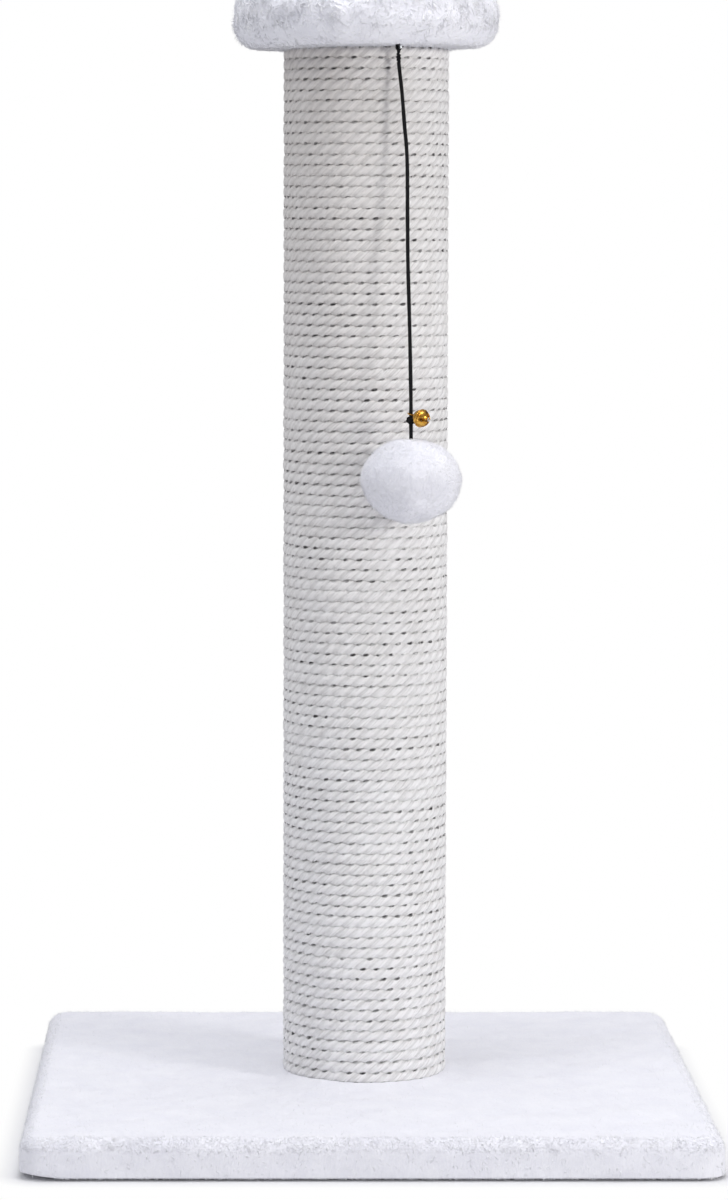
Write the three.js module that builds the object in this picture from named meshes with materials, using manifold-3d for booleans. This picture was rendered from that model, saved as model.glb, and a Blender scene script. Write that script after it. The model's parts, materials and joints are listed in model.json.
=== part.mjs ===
/*
 * Cat scratching post: a square base board in plush, a cardboard post wound with rope, a small
 * padded disc on top, and a plush ball with a bell that hangs on an elastic cord under the disc.
 *
 * Millimetres, +Z up. The origin is on the floor, on the post's axis. The front faces -Y.
 */
import * as THREE from 'three';
import { mergeVertices } from 'three/addons/utils/BufferGeometryUtils.js';
import Module from 'manifold-3d';

const wasm = await Module();
wasm.setup();

// ---------------------------------------------------------------------------
// Driving dimensions
// ---------------------------------------------------------------------------

const clearance = 0.3; // between pieces that touch, and round each shank and leg

// Base
const baseSide = 400; // over the plush
const baseCornerRadius = 14;
const baseEdgeRadius = 5; // plush rolled over the board's edges
const baseBoardThickness = 16;
const basePlush = 5; // backing and pile, on top and round the sides
const pressedPlush = 2; // plush folded under a board, or squeezed by the post's end
const baseFlangeWidth = 45; // plush folded under the board
const linerThickness = 1.2; // felt under the base
const linerInset = 12; // from the plush's outer edge

// Post
const ropedHeight = 610;
const tubeRadius = 41.85; // cardboard tube, outside
const tubeWall = 4;
const plugThickness = 18;

// Rope
const ropeDiameter = 5.7;
const leastRopeGap = 0.43; // between neighbouring turns
const ropeStart = THREE.MathUtils.degToRad(45); // the rope starts at the back
const ropeEndTurn = 0.25; // fraction of a turn by which its other end lies further round
const coilTurns = 5; // whole turns modelled as round rope at each end
const ropeSteps = 24; // per turn of round rope
const ropeSides = 6;
const sleeveSteps = 12; // per turn of the tight turns between

// Platform
const platformRadius = 80; // over the plush
const platformBoardThickness = 16;
const platformPlush = 6; // pile under the board and over the pad
const platformRimPlush = 8; // longer looking pile round the rim
const platformFoam = 15.5; // pad at its middle
const platformCrown = 3; // rise of the top from rim to middle
const platformLowerRound = 15;
const platformUpperRound = 13;
const platformFoamRound = 7;
const platformFacets = 28;
const platformOpeningRadius = 38; // edge of the plush that is folded under the board

// Fasteners
const boltRadius = 4; // M8
const boltLength = 35;
const boltHeadAcrossFlats = 13;
const boltHeadHeight = 5.3;
const washerRadius = 12;
const washerThickness = 1.6;
const headRecess = 0.5; // from the bolt's head up to the board's underside
const hangerBoltLength = 45;
const hangerWoodRadius = 3.5;
const hangerWoodLength = 14;
const nutFlangeRadius = 11;
const nutFlangeThickness = 1.5;
const nutBarrelRadius = 5.2;
const nutBarrelLength = 9;
const prong = { width: 2.4, thickness: 1, length: 6, circle: 9 };
const nail = { headRadius: 1.75, head: 0.8, radius: 0.7, length: 14 };
const tack = { headRadius: 2.2, head: 0.6, radius: 0.7, length: 21 };
const staple = { crown: 10, leg: 8, wire: 0.5, width: 1 };
const baseStaplesPerSide = 2;
const baseStapleSpacing = 170;
const baseStapleInset = 9; // from the liner's edge
const stapleLift = 0.1; // of the crowns off the floor
const platformStapleInset = 3.35; // from the tube's seat outwards

// Toy: places are counted from the middle of its staple's crown, X to the right and -Y to the front
const toyAzimuth = THREE.MathUtils.degToRad(18.4); // from the front to the right
const toyStandOff = 5.9; // of the toy's staple from the rope
const toyStaple = { crown: 8, leg: 13, wire: 1, width: 1 };
const toyStapleDrop = 0.9; // of its crown below the plush
const toyDimple = { radius: 4.3, depth: 2.9 }; // where the staple pulls the plush in
const elasticRadius = 1.1;
const loopRadius = 2.2; // to the middle of the elastic
const topKnotRadius = 2.1;
const lowerKnotRadius = 1.9;
const lowerKnotPlace = new THREE.Vector3(7.1, -19.3, -215);
const ballPlace = new THREE.Vector3(7.47, -22.44, -249.8);
const ballWidth = 58.5;
const ballHeight = 50.5;
const ballCoverThickness = 4;
const ballFacets = 20;
const ballKnotRadius = 3;
const bellPlace = new THREE.Vector3(13.03, -23.4, -213.6);
const bellEyePlace = new THREE.Vector3(7.17, -19, -211.5);
const bellRadius = 5.1;
const bellWall = 0.5;
const bellRimWidth = 0.4;
const bellFacets = 12;
const bellSlot = { width: 0.9, length: 8, holeRadius: 0.8 };
const bellEyeRadius = 1.9; // to the middle of its wire
const bellWireRadius = 0.35;
const bellStemRadius = 0.5;
const peaRadius = 1.4;

// Route of the elastic, from just under its top knot to just above its lower knot
const elasticRoute = [
  [0, 0, -8.1],
  [0.75, -0.8, -15],
  [1.75, -1.7, -24],
  [2.6, -2.7, -34],
  [3.4, -3.8, -45],
  [4.5, -4.9, -57],
  [5.0, -6.0, -69],
  [5.1, -7.1, -81],
  [5.1, -8.3, -94],
  [5.2, -9.5, -107],
  [5.3, -10.7, -120],
  [5.6, -11.9, -133],
  [5.95, -13.1, -146],
  [6.3, -14.3, -159],
  [6.6, -15.5, -172],
  [6.85, -16.7, -185],
  [7.05, -17.8, -198],
  [7.15, -18.8, -209],
  [7.15, -19.1, -212.8],
];

// ---------------------------------------------------------------------------
// Levels and radii that follow
// ---------------------------------------------------------------------------

const baseFlangeBottom = linerThickness + clearance;
const baseFlangeTop = baseFlangeBottom + pressedPlush;
const baseBoardBottom = baseFlangeTop + clearance;
const baseBoardTop = baseBoardBottom + baseBoardThickness;
const basePlushBottom = baseBoardTop + clearance;
const baseTop = basePlushBottom + basePlush;
const baseBoardSide = baseSide - 2 * (basePlush + clearance);
const linerSide = baseSide - 2 * linerInset;

const ropeBottom = baseTop + clearance;
const ropeTop = ropeBottom + ropedHeight;
const platformBottom = ropeTop + clearance;
const platformBoardBottom = platformBottom + platformPlush + clearance;
const platformBoardTop = platformBoardBottom + platformBoardThickness;
const platformBoardRadius = platformRadius - platformRimPlush - clearance;
const foamBottom = platformBoardTop + clearance;
const foamTop = foamBottom + platformFoam;
const platformTop = foamTop + clearance + platformPlush;

const tubeBottom = basePlushBottom + pressedPlush + clearance;
const tubeTop = platformBoardBottom - pressedPlush - 2 * clearance;
const tubeSeatRadius = tubeRadius + clearance;
const plugRadius = tubeRadius - tubeWall - clearance;
const bottomPlugTop = tubeBottom + plugThickness;
const topPlugBottom = tubeTop - plugThickness;
const shankHoleRadius = boltRadius + clearance;
const nutHoleRadius = nutBarrelRadius + clearance;

const ropeCornerRadius = ropeDiameter / 2 / Math.cos(Math.PI / ropeSides);
const ropeCentreRadius = tubeSeatRadius / Math.cos(Math.PI / ropeSteps) + ropeCornerRadius;
const postRadius = ropeCentreRadius + ropeCornerRadius;
const ropeRise = ropedHeight - ropeDiameter;
const wholeTurns = Math.floor(ropeRise / (ropeDiameter + leastRopeGap) - ropeEndTurn);
const ropeTurns = wholeTurns + ropeEndTurn;
const ropePitch = ropeRise / ropeTurns;

const washerTop = baseBoardBottom + headRecess + boltHeadHeight + clearance + washerThickness;
const counterboreTop = washerTop + clearance;
const boltSeat = washerTop - washerThickness - clearance;

const outward = new THREE.Vector3(Math.sin(toyAzimuth), -Math.cos(toyAzimuth), 0);
const toyRadius = postRadius + toyStandOff;
const toyAnchor = outward.clone().multiplyScalar(toyRadius).setZ(platformBottom - toyStapleDrop);

// ---------------------------------------------------------------------------
// Finishes
// ---------------------------------------------------------------------------

const finishes = {
  plush: { color: '#e9ebf3', roughness: 1, metalness: 0 },
  rope: { color: '#d8d6d3', roughness: 0.95, metalness: 0 },
  board: { color: '#c8ab80', roughness: 0.85, metalness: 0 },
  cardboard: { color: '#ab8a62', roughness: 0.9, metalness: 0 },
  felt: { color: '#3b3c40', roughness: 1, metalness: 0 },
  steel: { color: '#c6c9cd', roughness: 0.35, metalness: 1 },
  foam: { color: '#efe7c6', roughness: 0.95, metalness: 0 },
  wadding: { color: '#f4f4f6', roughness: 1, metalness: 0 },
  elastic: { color: '#141518', roughness: 0.8, metalness: 0 },
  gold: { color: '#cfa545', roughness: 0.25, metalness: 1 },
};

function piece(name, geometry, finish) {
  const mesh = new THREE.Mesh(geometry, new THREE.MeshStandardMaterial(finishes[finish]));
  mesh.name = name;
  return mesh;
}

// ---------------------------------------------------------------------------
// Closed geometry: joining and cutting
// ---------------------------------------------------------------------------

/** Merges shared vertices and drops the triangles that have no area at a pole. */
function closed(geometry) {
  const bare = geometry.clone();
  bare.deleteAttribute('normal');
  bare.deleteAttribute('uv');
  const merged = mergeVertices(bare, 1e-4);
  const index = merged.index.array;
  const kept = [];
  for (let i = 0; i < index.length; i += 3) {
    const [a, b, c] = [index[i], index[i + 1], index[i + 2]];
    if (a !== b && b !== c && c !== a) kept.push(a, b, c);
  }
  merged.setIndex(kept);
  return merged;
}

function toSolid(geometry) {
  const merged = closed(geometry);
  return new wasm.Manifold(new wasm.Mesh({
    numProp: 3,
    vertProperties: new Float32Array(merged.attributes.position.array),
    triVerts: new Uint32Array(merged.index.array),
  }));
}

function toGeometry(solid) {
  const mesh = solid.getMesh();
  const geometry = new THREE.BufferGeometry();
  geometry.setAttribute('position', new THREE.BufferAttribute(mesh.vertProperties, mesh.numProp));
  geometry.setIndex(new THREE.BufferAttribute(mesh.triVerts, 1));
  geometry.computeVertexNormals();
  return geometry;
}

function join(first, ...others) {
  return toGeometry(others.reduce((whole, other) => whole.add(toSolid(other)), toSolid(first)));
}

function cut(body, ...tools) {
  return toGeometry(tools.reduce((rest, tool) => rest.subtract(toSolid(tool)), toSolid(body)));
}

// ---------------------------------------------------------------------------
// Basic shapes, all built along +Z
// ---------------------------------------------------------------------------

/** Turns a profile of [radius, height] points, listed upwards on the outside, about Z. */
function turned(profile, segments) {
  const points = profile.map(([radius, height]) => new THREE.Vector2(radius, height));
  return new THREE.LatheGeometry(points, segments).rotateX(Math.PI / 2);
}

function disc(radius, bottom, top, segments = 24) {
  return turned([[0, bottom], [radius, bottom], [radius, top], [0, top]], segments);
}

function ring(innerRadius, outerRadius, bottom, top, segments = 24) {
  return turned([
    [innerRadius, bottom], [outerRadius, bottom],
    [outerRadius, top], [innerRadius, top], [innerRadius, bottom],
  ], segments);
}

/** Points of an arc in a profile, from one angle to another, in degrees from the +radius side. */
function arc(radiusAt, heightAt, radius, from, to, steps) {
  return Array.from({ length: steps + 1 }, (_, i) => {
    const angle = THREE.MathUtils.degToRad(from + (to - from) * i / steps);
    return [radiusAt + radius * Math.cos(angle), heightAt + radius * Math.sin(angle)];
  });
}

/** Half of an ellipse in a profile, from its bottom on the axis to an opening at its top. */
function ellipseSide(width, height, opening, steps) {
  const last = Math.acos(opening / width);
  return Array.from({ length: steps + 1 }, (_, i) => {
    const angle = -Math.PI / 2 + (last + Math.PI / 2) * i / steps;
    return [i === 0 ? 0 : width * Math.cos(angle), height * Math.sin(angle)];
  });
}

function block(width, depth, bottom, top) {
  return new THREE.BoxGeometry(width, depth, top - bottom).translate(0, 0, (top + bottom) / 2);
}

/** A square slab with round corners, and with its upper and lower edges rounded if asked. */
function squareSlab(side, cornerRadius, bottom, top, edgeRadius = 0) {
  const half = side / 2;
  const straight = half - cornerRadius;
  const shape = new THREE.Shape();
  [[1, -1], [1, 1], [-1, 1], [-1, -1]].forEach(([x, y], i) => {
    const from = (i - 1) * Math.PI / 2;
    shape.absarc(x * straight, y * straight, cornerRadius, from, from + Math.PI / 2, false);
  });
  return new THREE.ExtrudeGeometry(shape, {
    depth: top - bottom - 2 * edgeRadius,
    curveSegments: 5,
    bevelEnabled: edgeRadius > 0,
    bevelSize: edgeRadius,
    bevelOffset: -edgeRadius,
    bevelThickness: edgeRadius,
    bevelSegments: 3,
  }).translate(0, 0, bottom + edgeRadius);
}

/** Turns a shape built along +Z to point at the post's axis, from a radius and a height. */
function pointedInward(geometry, angle, radius, height) {
  return geometry.clone()
    .rotateY(-Math.PI / 2)
    .translate(radius, 0, 0)
    .rotateZ(angle)
    .translate(0, 0, height);
}

// ---------------------------------------------------------------------------
// Fasteners, and the holes that they take
// ---------------------------------------------------------------------------

/** A U of wire with its crown on the X axis and its legs up; grow widens it all round. */
function stapleShape({ crown, leg, wire, width }, grow = 0, crownDepth = 0) {
  const outer = crown / 2 + grow;
  const inner = crown / 2 - wire - grow;
  const shape = new THREE.Shape([
    [-outer, -crownDepth], [outer, -crownDepth], [outer, leg + grow], [inner, leg + grow],
    [inner, wire + grow], [-inner, wire + grow], [-inner, leg + grow], [-outer, leg + grow],
  ].map(([x, y]) => new THREE.Vector2(x, y)));
  const depth = width + 2 * grow;
  return new THREE.ExtrudeGeometry(shape, { depth, bevelEnabled: false })
    .translate(0, 0, -depth / 2)
    .rotateX(Math.PI / 2);
}

/** The hole for a staple, with a pocket for its crown that reaches below it by pocketDepth. */
function stapleHole(size, pocketDepth) {
  return stapleShape(size, clearance, pocketDepth);
}

/** A nail along +Z with its head's outer face at 0; grow widens it all round. */
function nailShape({ headRadius, head, radius, length }, grow = 0, headDepth = 0) {
  return turned([
    [0, -headDepth],
    [headRadius + grow, -headDepth],
    [headRadius + grow, head + grow],
    [radius + grow, head + grow],
    [radius + grow, length - 2 * radius],
    [0, length + grow],
  ], 6);
}

function boltPiece(name, seat) {
  const head = new THREE.CylinderGeometry(1, 1, boltHeadHeight, 6).rotateX(Math.PI / 2);
  const corner = boltHeadAcrossFlats / 2 / Math.cos(Math.PI / 6);
  head.scale(corner, corner, 1).translate(0, 0, seat - boltHeadHeight / 2);
  const shank = disc(boltRadius, seat - 1, seat + boltLength, 16);
  return piece(name, join(head, shank), 'steel');
}

/** A pronged nut whose flange lies on the face at height 0, with its barrel down the hole. */
function teeNutShape() {
  const bore = boltRadius + clearance;
  const body = turned([
    [bore, -nutBarrelLength], [nutBarrelRadius, -nutBarrelLength],
    [nutBarrelRadius, clearance], [nutFlangeRadius, clearance],
    [nutFlangeRadius, clearance + nutFlangeThickness], [bore, clearance + nutFlangeThickness],
    [bore, -nutBarrelLength],
  ], 16);
  return join(body, ...prongShapes(0));
}

function prongShapes(grow) {
  const { width, thickness, length, circle } = prong;
  const top = clearance + nutFlangeThickness / 2;
  const shape = block(thickness + 2 * grow, width + 2 * grow, -length - grow, top);
  return [0, 1, 2, 3].map((i) => shape.clone().translate(circle, 0, 0).rotateZ(i * Math.PI / 2));
}

/** The hole in an end plug for the nut's barrel, its prongs and the bolt that passes through. */
function teeNutHole() {
  return [
    disc(nutHoleRadius, -nutBarrelLength - clearance, 1, 16),
    disc(shankHoleRadius, -plugThickness - 1, 1, 16),
    ...prongShapes(clearance),
  ];
}

// ---------------------------------------------------------------------------
// Base
// ---------------------------------------------------------------------------

const baseStaplePlaces = [0, 1, 2, 3].flatMap((side) =>
  Array.from({ length: baseStaplesPerSide }, (_, i) => ({
    turn: side * Math.PI / 2,
    along: (i - (baseStaplesPerSide - 1) / 2) * baseStapleSpacing,
  })));

function atBaseStaple(geometry, { turn, along }) {
  const reach = linerSide / 2 - baseStapleInset;
  return geometry.clone().translate(along, -reach, stapleLift).rotateZ(turn);
}

function base() {
  const group = new THREE.Group();
  const holes = baseStaplePlaces.map((place) => atBaseStaple(stapleHole(staple, 1), place));

  const board = cut(
    squareSlab(baseBoardSide, baseCornerRadius - basePlush, baseBoardBottom, baseBoardTop),
    disc(shankHoleRadius, 0, baseTop, 16),
    disc(washerRadius + 1, 0, counterboreTop),
    ...holes,
  );
  group.add(piece('base_board', board, 'board'));

  const flangeOpening = baseSide - 2 * baseFlangeWidth;
  const cover = cut(
    squareSlab(baseSide, baseCornerRadius, baseFlangeBottom, baseTop, baseEdgeRadius),
    squareSlab(baseBoardSide + 2 * clearance, baseCornerRadius - basePlush,
      baseFlangeTop, basePlushBottom),
    block(flangeOpening, flangeOpening, 0, baseBoardBottom),
    disc(tubeSeatRadius, basePlushBottom + pressedPlush, baseTop + 1),
    disc(shankHoleRadius, baseBoardTop, baseTop, 16),
    ...holes,
  );
  group.add(piece('base_plush_cover', cover, 'plush'));

  const liner = cut(
    squareSlab(linerSide, baseCornerRadius, 0, linerThickness),
    disc(washerRadius + 2, -1, linerThickness + 1),
    ...holes,
  );
  group.add(piece('base_liner', liner, 'felt'));

  baseStaplePlaces.forEach((place, i) => {
    const shape = atBaseStaple(stapleShape(staple), place);
    group.add(piece(`base_staple_${i + 1}`, shape, 'steel'));
  });

  group.add(boltPiece('base_bolt', boltSeat));
  const washer = ring(shankHoleRadius, washerRadius, washerTop - washerThickness, washerTop, 16);
  group.add(piece('base_bolt_washer', washer, 'steel'));
  return group;
}

// ---------------------------------------------------------------------------
// Post: tube, end plugs, their nuts and nails
// ---------------------------------------------------------------------------

const plugNailAngles = [0, 120, 240].map(THREE.MathUtils.degToRad);
const ropeEndAngle = ropeStart + ropeEndTurn * 2 * Math.PI;
const ropeEnds = [
  { name: 'rope_tack_bottom', angle: ropeStart, height: ropeBottom + ropeDiameter / 2 },
  { name: 'rope_tack_top', angle: ropeEndAngle, height: ropeTop - ropeDiameter / 2 },
];

function plugNails(height, shape) {
  const flush = tubeRadius - 2 * clearance;
  return plugNailAngles.map((angle) => pointedInward(shape, angle, flush, height));
}

/** A rope tack's place is along the middle of the straight run at the rope's end. */
function ropeTack({ angle, height }, sign, shape) {
  return pointedInward(shape, 0, postRadius + clearance + tack.head, height)
    .translate(0, sign * ropeDiameter / 2, 0)
    .rotateZ(angle);
}

function ropeTacks(shape) {
  return [ropeTack(ropeEnds[0], 1, shape), ropeTack(ropeEnds[1], -1, shape)];
}

function post() {
  const group = new THREE.Group();
  const nailHoles = nailShape(nail, clearance, 1);
  const tackHoles = ropeTacks(nailShape(tack, clearance, 1));
  const bottomNailHeight = tubeBottom + plugThickness / 2 + ropeDiameter / 2;
  const topNailHeight = tubeTop - plugThickness / 2 - ropeDiameter / 2;
  const bottomNailHoles = plugNails(bottomNailHeight, nailHoles);
  const topNailHoles = plugNails(topNailHeight, nailHoles);

  const tube = cut(
    ring(tubeRadius - tubeWall, tubeRadius, tubeBottom, tubeTop, ropeSteps),
    ...bottomNailHoles, ...topNailHoles, ...tackHoles,
  );
  group.add(piece('post_tube', tube, 'cardboard'));

  const bottomHoles = teeNutHole().map((hole) => hole.translate(0, 0, bottomPlugTop));
  const bottomPlug = cut(disc(plugRadius, tubeBottom, bottomPlugTop),
    ...bottomHoles, ...bottomNailHoles, tackHoles[0]);
  group.add(piece('bottom_plug', bottomPlug, 'board'));

  const topHoles = teeNutHole().map((hole) => hole.rotateX(Math.PI).translate(0, 0, topPlugBottom));
  const topPlug = cut(disc(plugRadius, topPlugBottom, tubeTop),
    ...topHoles, ...topNailHoles, tackHoles[1]);
  group.add(piece('top_plug', topPlug, 'board'));

  const bottomNut = teeNutShape().translate(0, 0, bottomPlugTop);
  group.add(piece('bottom_tee_nut', bottomNut, 'steel'));
  const topNut = teeNutShape().rotateX(Math.PI).translate(0, 0, topPlugBottom);
  group.add(piece('top_tee_nut', topNut, 'steel'));

  [['bottom', bottomNailHeight], ['top', topNailHeight]].forEach(([end, height]) => {
    plugNails(height, nailShape(nail)).forEach((shape, i) => {
      group.add(piece(`${end}_plug_nail_${i + 1}`, shape, 'steel'));
    });
  });
  ropeTacks(nailShape(tack)).forEach((shape, i) => {
    group.add(piece(ropeEnds[i].name, shape, 'steel'));
  });
  return group;
}

// ---------------------------------------------------------------------------
// Rope: one right-handed helix of turns laid side by side
// ---------------------------------------------------------------------------

function ropeHeight(turn) {
  return ropeBottom + ropeDiameter / 2 + ropePitch * turn;
}

/** A six-sided section of the rope, square to the radial plane at an angle. */
function ropeSection(angle, turn, along = 0) {
  const radial = new THREE.Vector3(Math.cos(angle), Math.sin(angle), 0);
  const tangent = new THREE.Vector3(-Math.sin(angle), Math.cos(angle), 0);
  const centre = radial.clone().multiplyScalar(ropeCentreRadius)
    .addScaledVector(tangent, along)
    .setZ(ropeHeight(turn + along / (2 * Math.PI * ropeCentreRadius)));
  return Array.from({ length: ropeSides }, (_, side) => {
    const around = side * 2 * Math.PI / ropeSides;
    return centre.clone()
      .addScaledVector(radial, ropeCornerRadius * Math.cos(around))
      .add(new THREE.Vector3(0, 0, ropeCornerRadius * Math.sin(around)));
  });
}

/** Sections of round rope between two turns. Each end runs straight for one diameter. */
function coilSections(fromTurn, toTurn, gapAtEnds) {
  const angleAt = (turn) => ropeStart + turn * 2 * Math.PI;
  const [startGap, endGap] = gapAtEnds;
  const sections = [
    ropeSection(angleAt(fromTurn), fromTurn, startGap),
    ropeSection(angleAt(fromTurn), fromTurn, startGap + ropeDiameter),
  ];
  const steps = Math.round((toTurn - fromTurn) * ropeSteps);
  for (let i = 1; i < steps; i += 1) {
    const turn = fromTurn + i / ropeSteps;
    sections.push(ropeSection(angleAt(turn), turn));
  }
  sections.push(ropeSection(angleAt(toTurn), toTurn, -endGap - ropeDiameter));
  sections.push(ropeSection(angleAt(toTurn), toTurn, -endGap));
  return sections;
}

/** Joins rings of points to one closed tube. */
function tubeThrough(sections) {
  const sides = sections[0].length;
  const index = [];
  for (let i = 0; i + 1 < sections.length; i += 1) {
    for (let side = 0; side < sides; side += 1) {
      const [a, b] = [i * sides + side, i * sides + (side + 1) % sides];
      index.push(a, a + sides, b, b, a + sides, b + sides);
    }
  }
  const last = (sections.length - 1) * sides;
  for (let side = 1; side + 1 < sides; side += 1) {
    index.push(0, side, side + 1, last, last + side + 1, last + side);
  }
  return new THREE.BufferGeometry().setFromPoints(sections.flat()).setIndex(index);
}

/** The least distance between points of the tube that lie one turn apart. */
function leastGap(sections) {
  const perEdge = 4;
  const samples = [];
  for (let i = 0; i + 1 < sections.length; i += 1) {
    for (let step = 0; step < perEdge; step += 1) {
      const share = step / perEdge;
      const here = sections[i].map((point, side) => point.clone().lerp(sections[i + 1][side], share));
      here.forEach((point, side) => {
        const middle = point.clone().lerp(here[(side + 1) % here.length], 0.5);
        samples.push({ at: i + share, point }, { at: i + share, point: middle });
      });
    }
  }
  let least = Infinity;
  samples.forEach((one) => samples.forEach((other) => {
    const apart = other.at - one.at;
    if (apart > ropeSteps * 0.8 && apart < ropeSteps * 1.2) {
      least = Math.min(least, one.point.distanceTo(other.point));
    }
  }));
  return least;
}

/**
 * The tight turns between the two coils, as one sleeve with a helical ridge for each turn. Its
 * ends follow the helix and stop in a step, which the round rope meets squarely.
 */
function ridgedSleeve(fromTurn, ridges) {
  const innerRadius = tubeSeatRadius / Math.cos(Math.PI / sleeveSteps);
  const grooveRadius = postRadius - ropeDiameter / 3;
  const points = [];
  const index = [];
  const addPoint = (step, radius, turn) => {
    const angle = ropeStart + step * 2 * Math.PI / sleeveSteps;
    const [x, y] = [radius * Math.cos(angle), radius * Math.sin(angle)];
    return points.push(new THREE.Vector3(x, y, ropeHeight(turn))) - 1;
  };
  const addFan = (...corners) => {
    for (let i = 1; i + 1 < corners.length; i += 1) index.push(corners[0], corners[i], corners[i + 1]);
  };

  const rows = 2 * ridges;
  const outer = [];
  const innerLow = [];
  const innerHigh = [];
  for (let step = 0; step <= sleeveSteps; step += 1) {
    const turn = fromTurn + step / sleeveSteps - 0.5;
    const column = [];
    for (let row = 0; row <= rows; row += 1) {
      const radius = row % 2 ? postRadius : grooveRadius;
      const shared = step === sleeveSteps && row + 2 <= rows;
      column.push(shared ? outer[0][row + 2] : addPoint(step, radius, turn + row / 2));
    }
    outer.push(column);
    innerLow.push(addPoint(step, innerRadius, turn));
    innerHigh.push(addPoint(step, innerRadius, turn + ridges));
  }

  for (let step = 0; step < sleeveSteps; step += 1) {
    const [left, right] = [outer[step], outer[step + 1]];
    for (let row = 0; row < rows; row += 1) {
      addFan(left[row], right[row], right[row + 1], left[row + 1]);
    }
    addFan(innerLow[step], innerLow[step + 1], right[0], left[0]);
    addFan(left[rows], right[rows], innerHigh[step + 1], innerHigh[step]);
  }
  const last = sleeveSteps;
  for (let step = 1; step < last - 1; step += 1) {
    addFan(innerHigh[step], innerHigh[step + 1], innerLow[step + 1], innerLow[step]);
  }
  addFan(innerLow[1], innerLow[0], innerLow[last], innerHigh[0], innerHigh[1]);
  addFan(innerHigh[last - 1], innerHigh[last], innerHigh[0], innerLow[last], innerLow[last - 1]);
  addFan(innerLow[last], innerLow[0], outer[0][0], outer[0][1], outer[0][2]);
  addFan(innerHigh[0], innerHigh[last], outer[last][rows], outer[last][rows - 1], outer[0][rows]);
  return new THREE.BufferGeometry().setFromPoints(points).setIndex(index);
}

function rope() {
  const group = new THREE.Group();
  const middleEnd = wholeTurns - coilTurns;
  const faceGap = ropePitch - ropeDiameter;
  const coils = [
    { name: 'rope_coil_bottom', sections: coilSections(0, coilTurns, [0, faceGap]) },
    { name: 'rope_coil_top', sections: coilSections(middleEnd, ropeTurns, [faceGap, 0]) },
  ];
  const tackHoles = ropeTacks(nailShape(tack, clearance, 1));
  coils.forEach(({ name, sections }, i) => {
    console.log(`${name}: least gap to itself ${leastGap(sections).toFixed(2)} mm`);
    group.add(piece(name, cut(tubeThrough(sections), tackHoles[i]), 'rope'));
  });
  group.add(piece('rope_middle', ridgedSleeve(coilTurns, middleEnd - coilTurns), 'rope'));
  return group;
}

// ---------------------------------------------------------------------------
// Platform
// ---------------------------------------------------------------------------

const platformStapleAngles = [0, 90, 180, 270].map(THREE.MathUtils.degToRad);

function atPlatformStaple(geometry, angle) {
  const crownHeight = platformBoardBottom - pressedPlush - 2 * clearance - staple.wire;
  return geometry.clone()
    .translate(0, tubeSeatRadius + platformStapleInset, crownHeight)
    .rotateZ(angle);
}

function atToyStaple(geometry) {
  const { x, y, z } = toyAnchor;
  return geometry.clone()
    .translate(0, 0, -toyStaple.wire / 2)
    .rotateZ(toyAzimuth - Math.PI / 2)
    .translate(x, y, z);
}

/** A crowned top in a profile, from its side at the reach, round its edge, to its middle. */
function crownedTop(reach, top, round, steps) {
  const rim = top - platformCrown;
  return [
    ...arc(reach - round, rim - round, round, 0, 80, steps),
    ...[0.6, 0.3].map((share) => [reach * share, rim + platformCrown * (1 - share * share)]),
    [0, top],
  ];
}

function platform() {
  const group = new THREE.Group();
  const stapleHoles = platformStapleAngles.map((angle) =>
    atPlatformStaple(stapleHole(staple, platformPlush), angle));
  const toyHole = atToyStaple(stapleHole(toyStaple, clearance));

  const hangerTop = platformBoardBottom + hangerWoodLength;
  const hangerHole = disc(shankHoleRadius, platformBoardBottom - 1, hangerTop + clearance, 16);
  const board = cut(
    disc(platformBoardRadius, platformBoardBottom, platformBoardTop, platformFacets),
    hangerHole, ...stapleHoles, toyHole,
  );
  group.add(piece('platform_board', board, 'board'));

  const hanger = turned([
    [0, hangerTop - hangerBoltLength],
    [boltRadius, hangerTop - hangerBoltLength],
    [boltRadius, platformBoardBottom],
    [hangerWoodRadius, platformBoardBottom + 1],
    [hangerWoodRadius, hangerTop - 3],
    [0, hangerTop],
  ], 16);
  group.add(piece('platform_hanger_bolt', hanger, 'steel'));

  const foam = turned([
    [0, foamBottom],
    [platformBoardRadius, foamBottom],
    ...crownedTop(platformBoardRadius, foamTop, platformFoamRound, 2),
  ], platformFacets);
  group.add(piece('platform_foam', foam, 'foam'));

  const hollowRadius = platformBoardRadius + clearance;
  const lowerRoundAt = platformRadius - platformLowerRound;
  const outside = turned([
    [0, platformBottom],
    ...arc(lowerRoundAt, platformBottom + platformLowerRound, platformLowerRound, -90, 0, 4),
    ...crownedTop(platformRadius, platformTop, platformUpperRound, 4),
  ], platformFacets);
  const hollow = turned([
    [0, platformBoardBottom - clearance],
    [hollowRadius, platformBoardBottom - clearance],
    ...crownedTop(hollowRadius, foamTop + clearance, platformFoamRound, 2),
  ], platformFacets);
  const dimple = disc(toyDimple.radius, platformBottom - 1, platformBottom + toyDimple.depth, 12)
    .translate(toyAnchor.x, toyAnchor.y, 0);
  const cover = cut(
    outside, hollow,
    disc(platformOpeningRadius, platformBottom - 1, platformBoardBottom),
    disc(tubeSeatRadius, platformBottom - 1, tubeTop + clearance),
    dimple, ...stapleHoles, toyHole,
  );
  group.add(piece('platform_plush_cover', cover, 'plush'));

  platformStapleAngles.forEach((angle, i) => {
    const shape = atPlatformStaple(stapleShape(staple), angle);
    group.add(piece(`platform_staple_${i + 1}`, shape, 'steel'));
  });
  group.add(piece('toy_staple', atToyStaple(stapleShape(toyStaple)), 'steel'));
  return group;
}

// ---------------------------------------------------------------------------
// Toy
// ---------------------------------------------------------------------------

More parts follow.
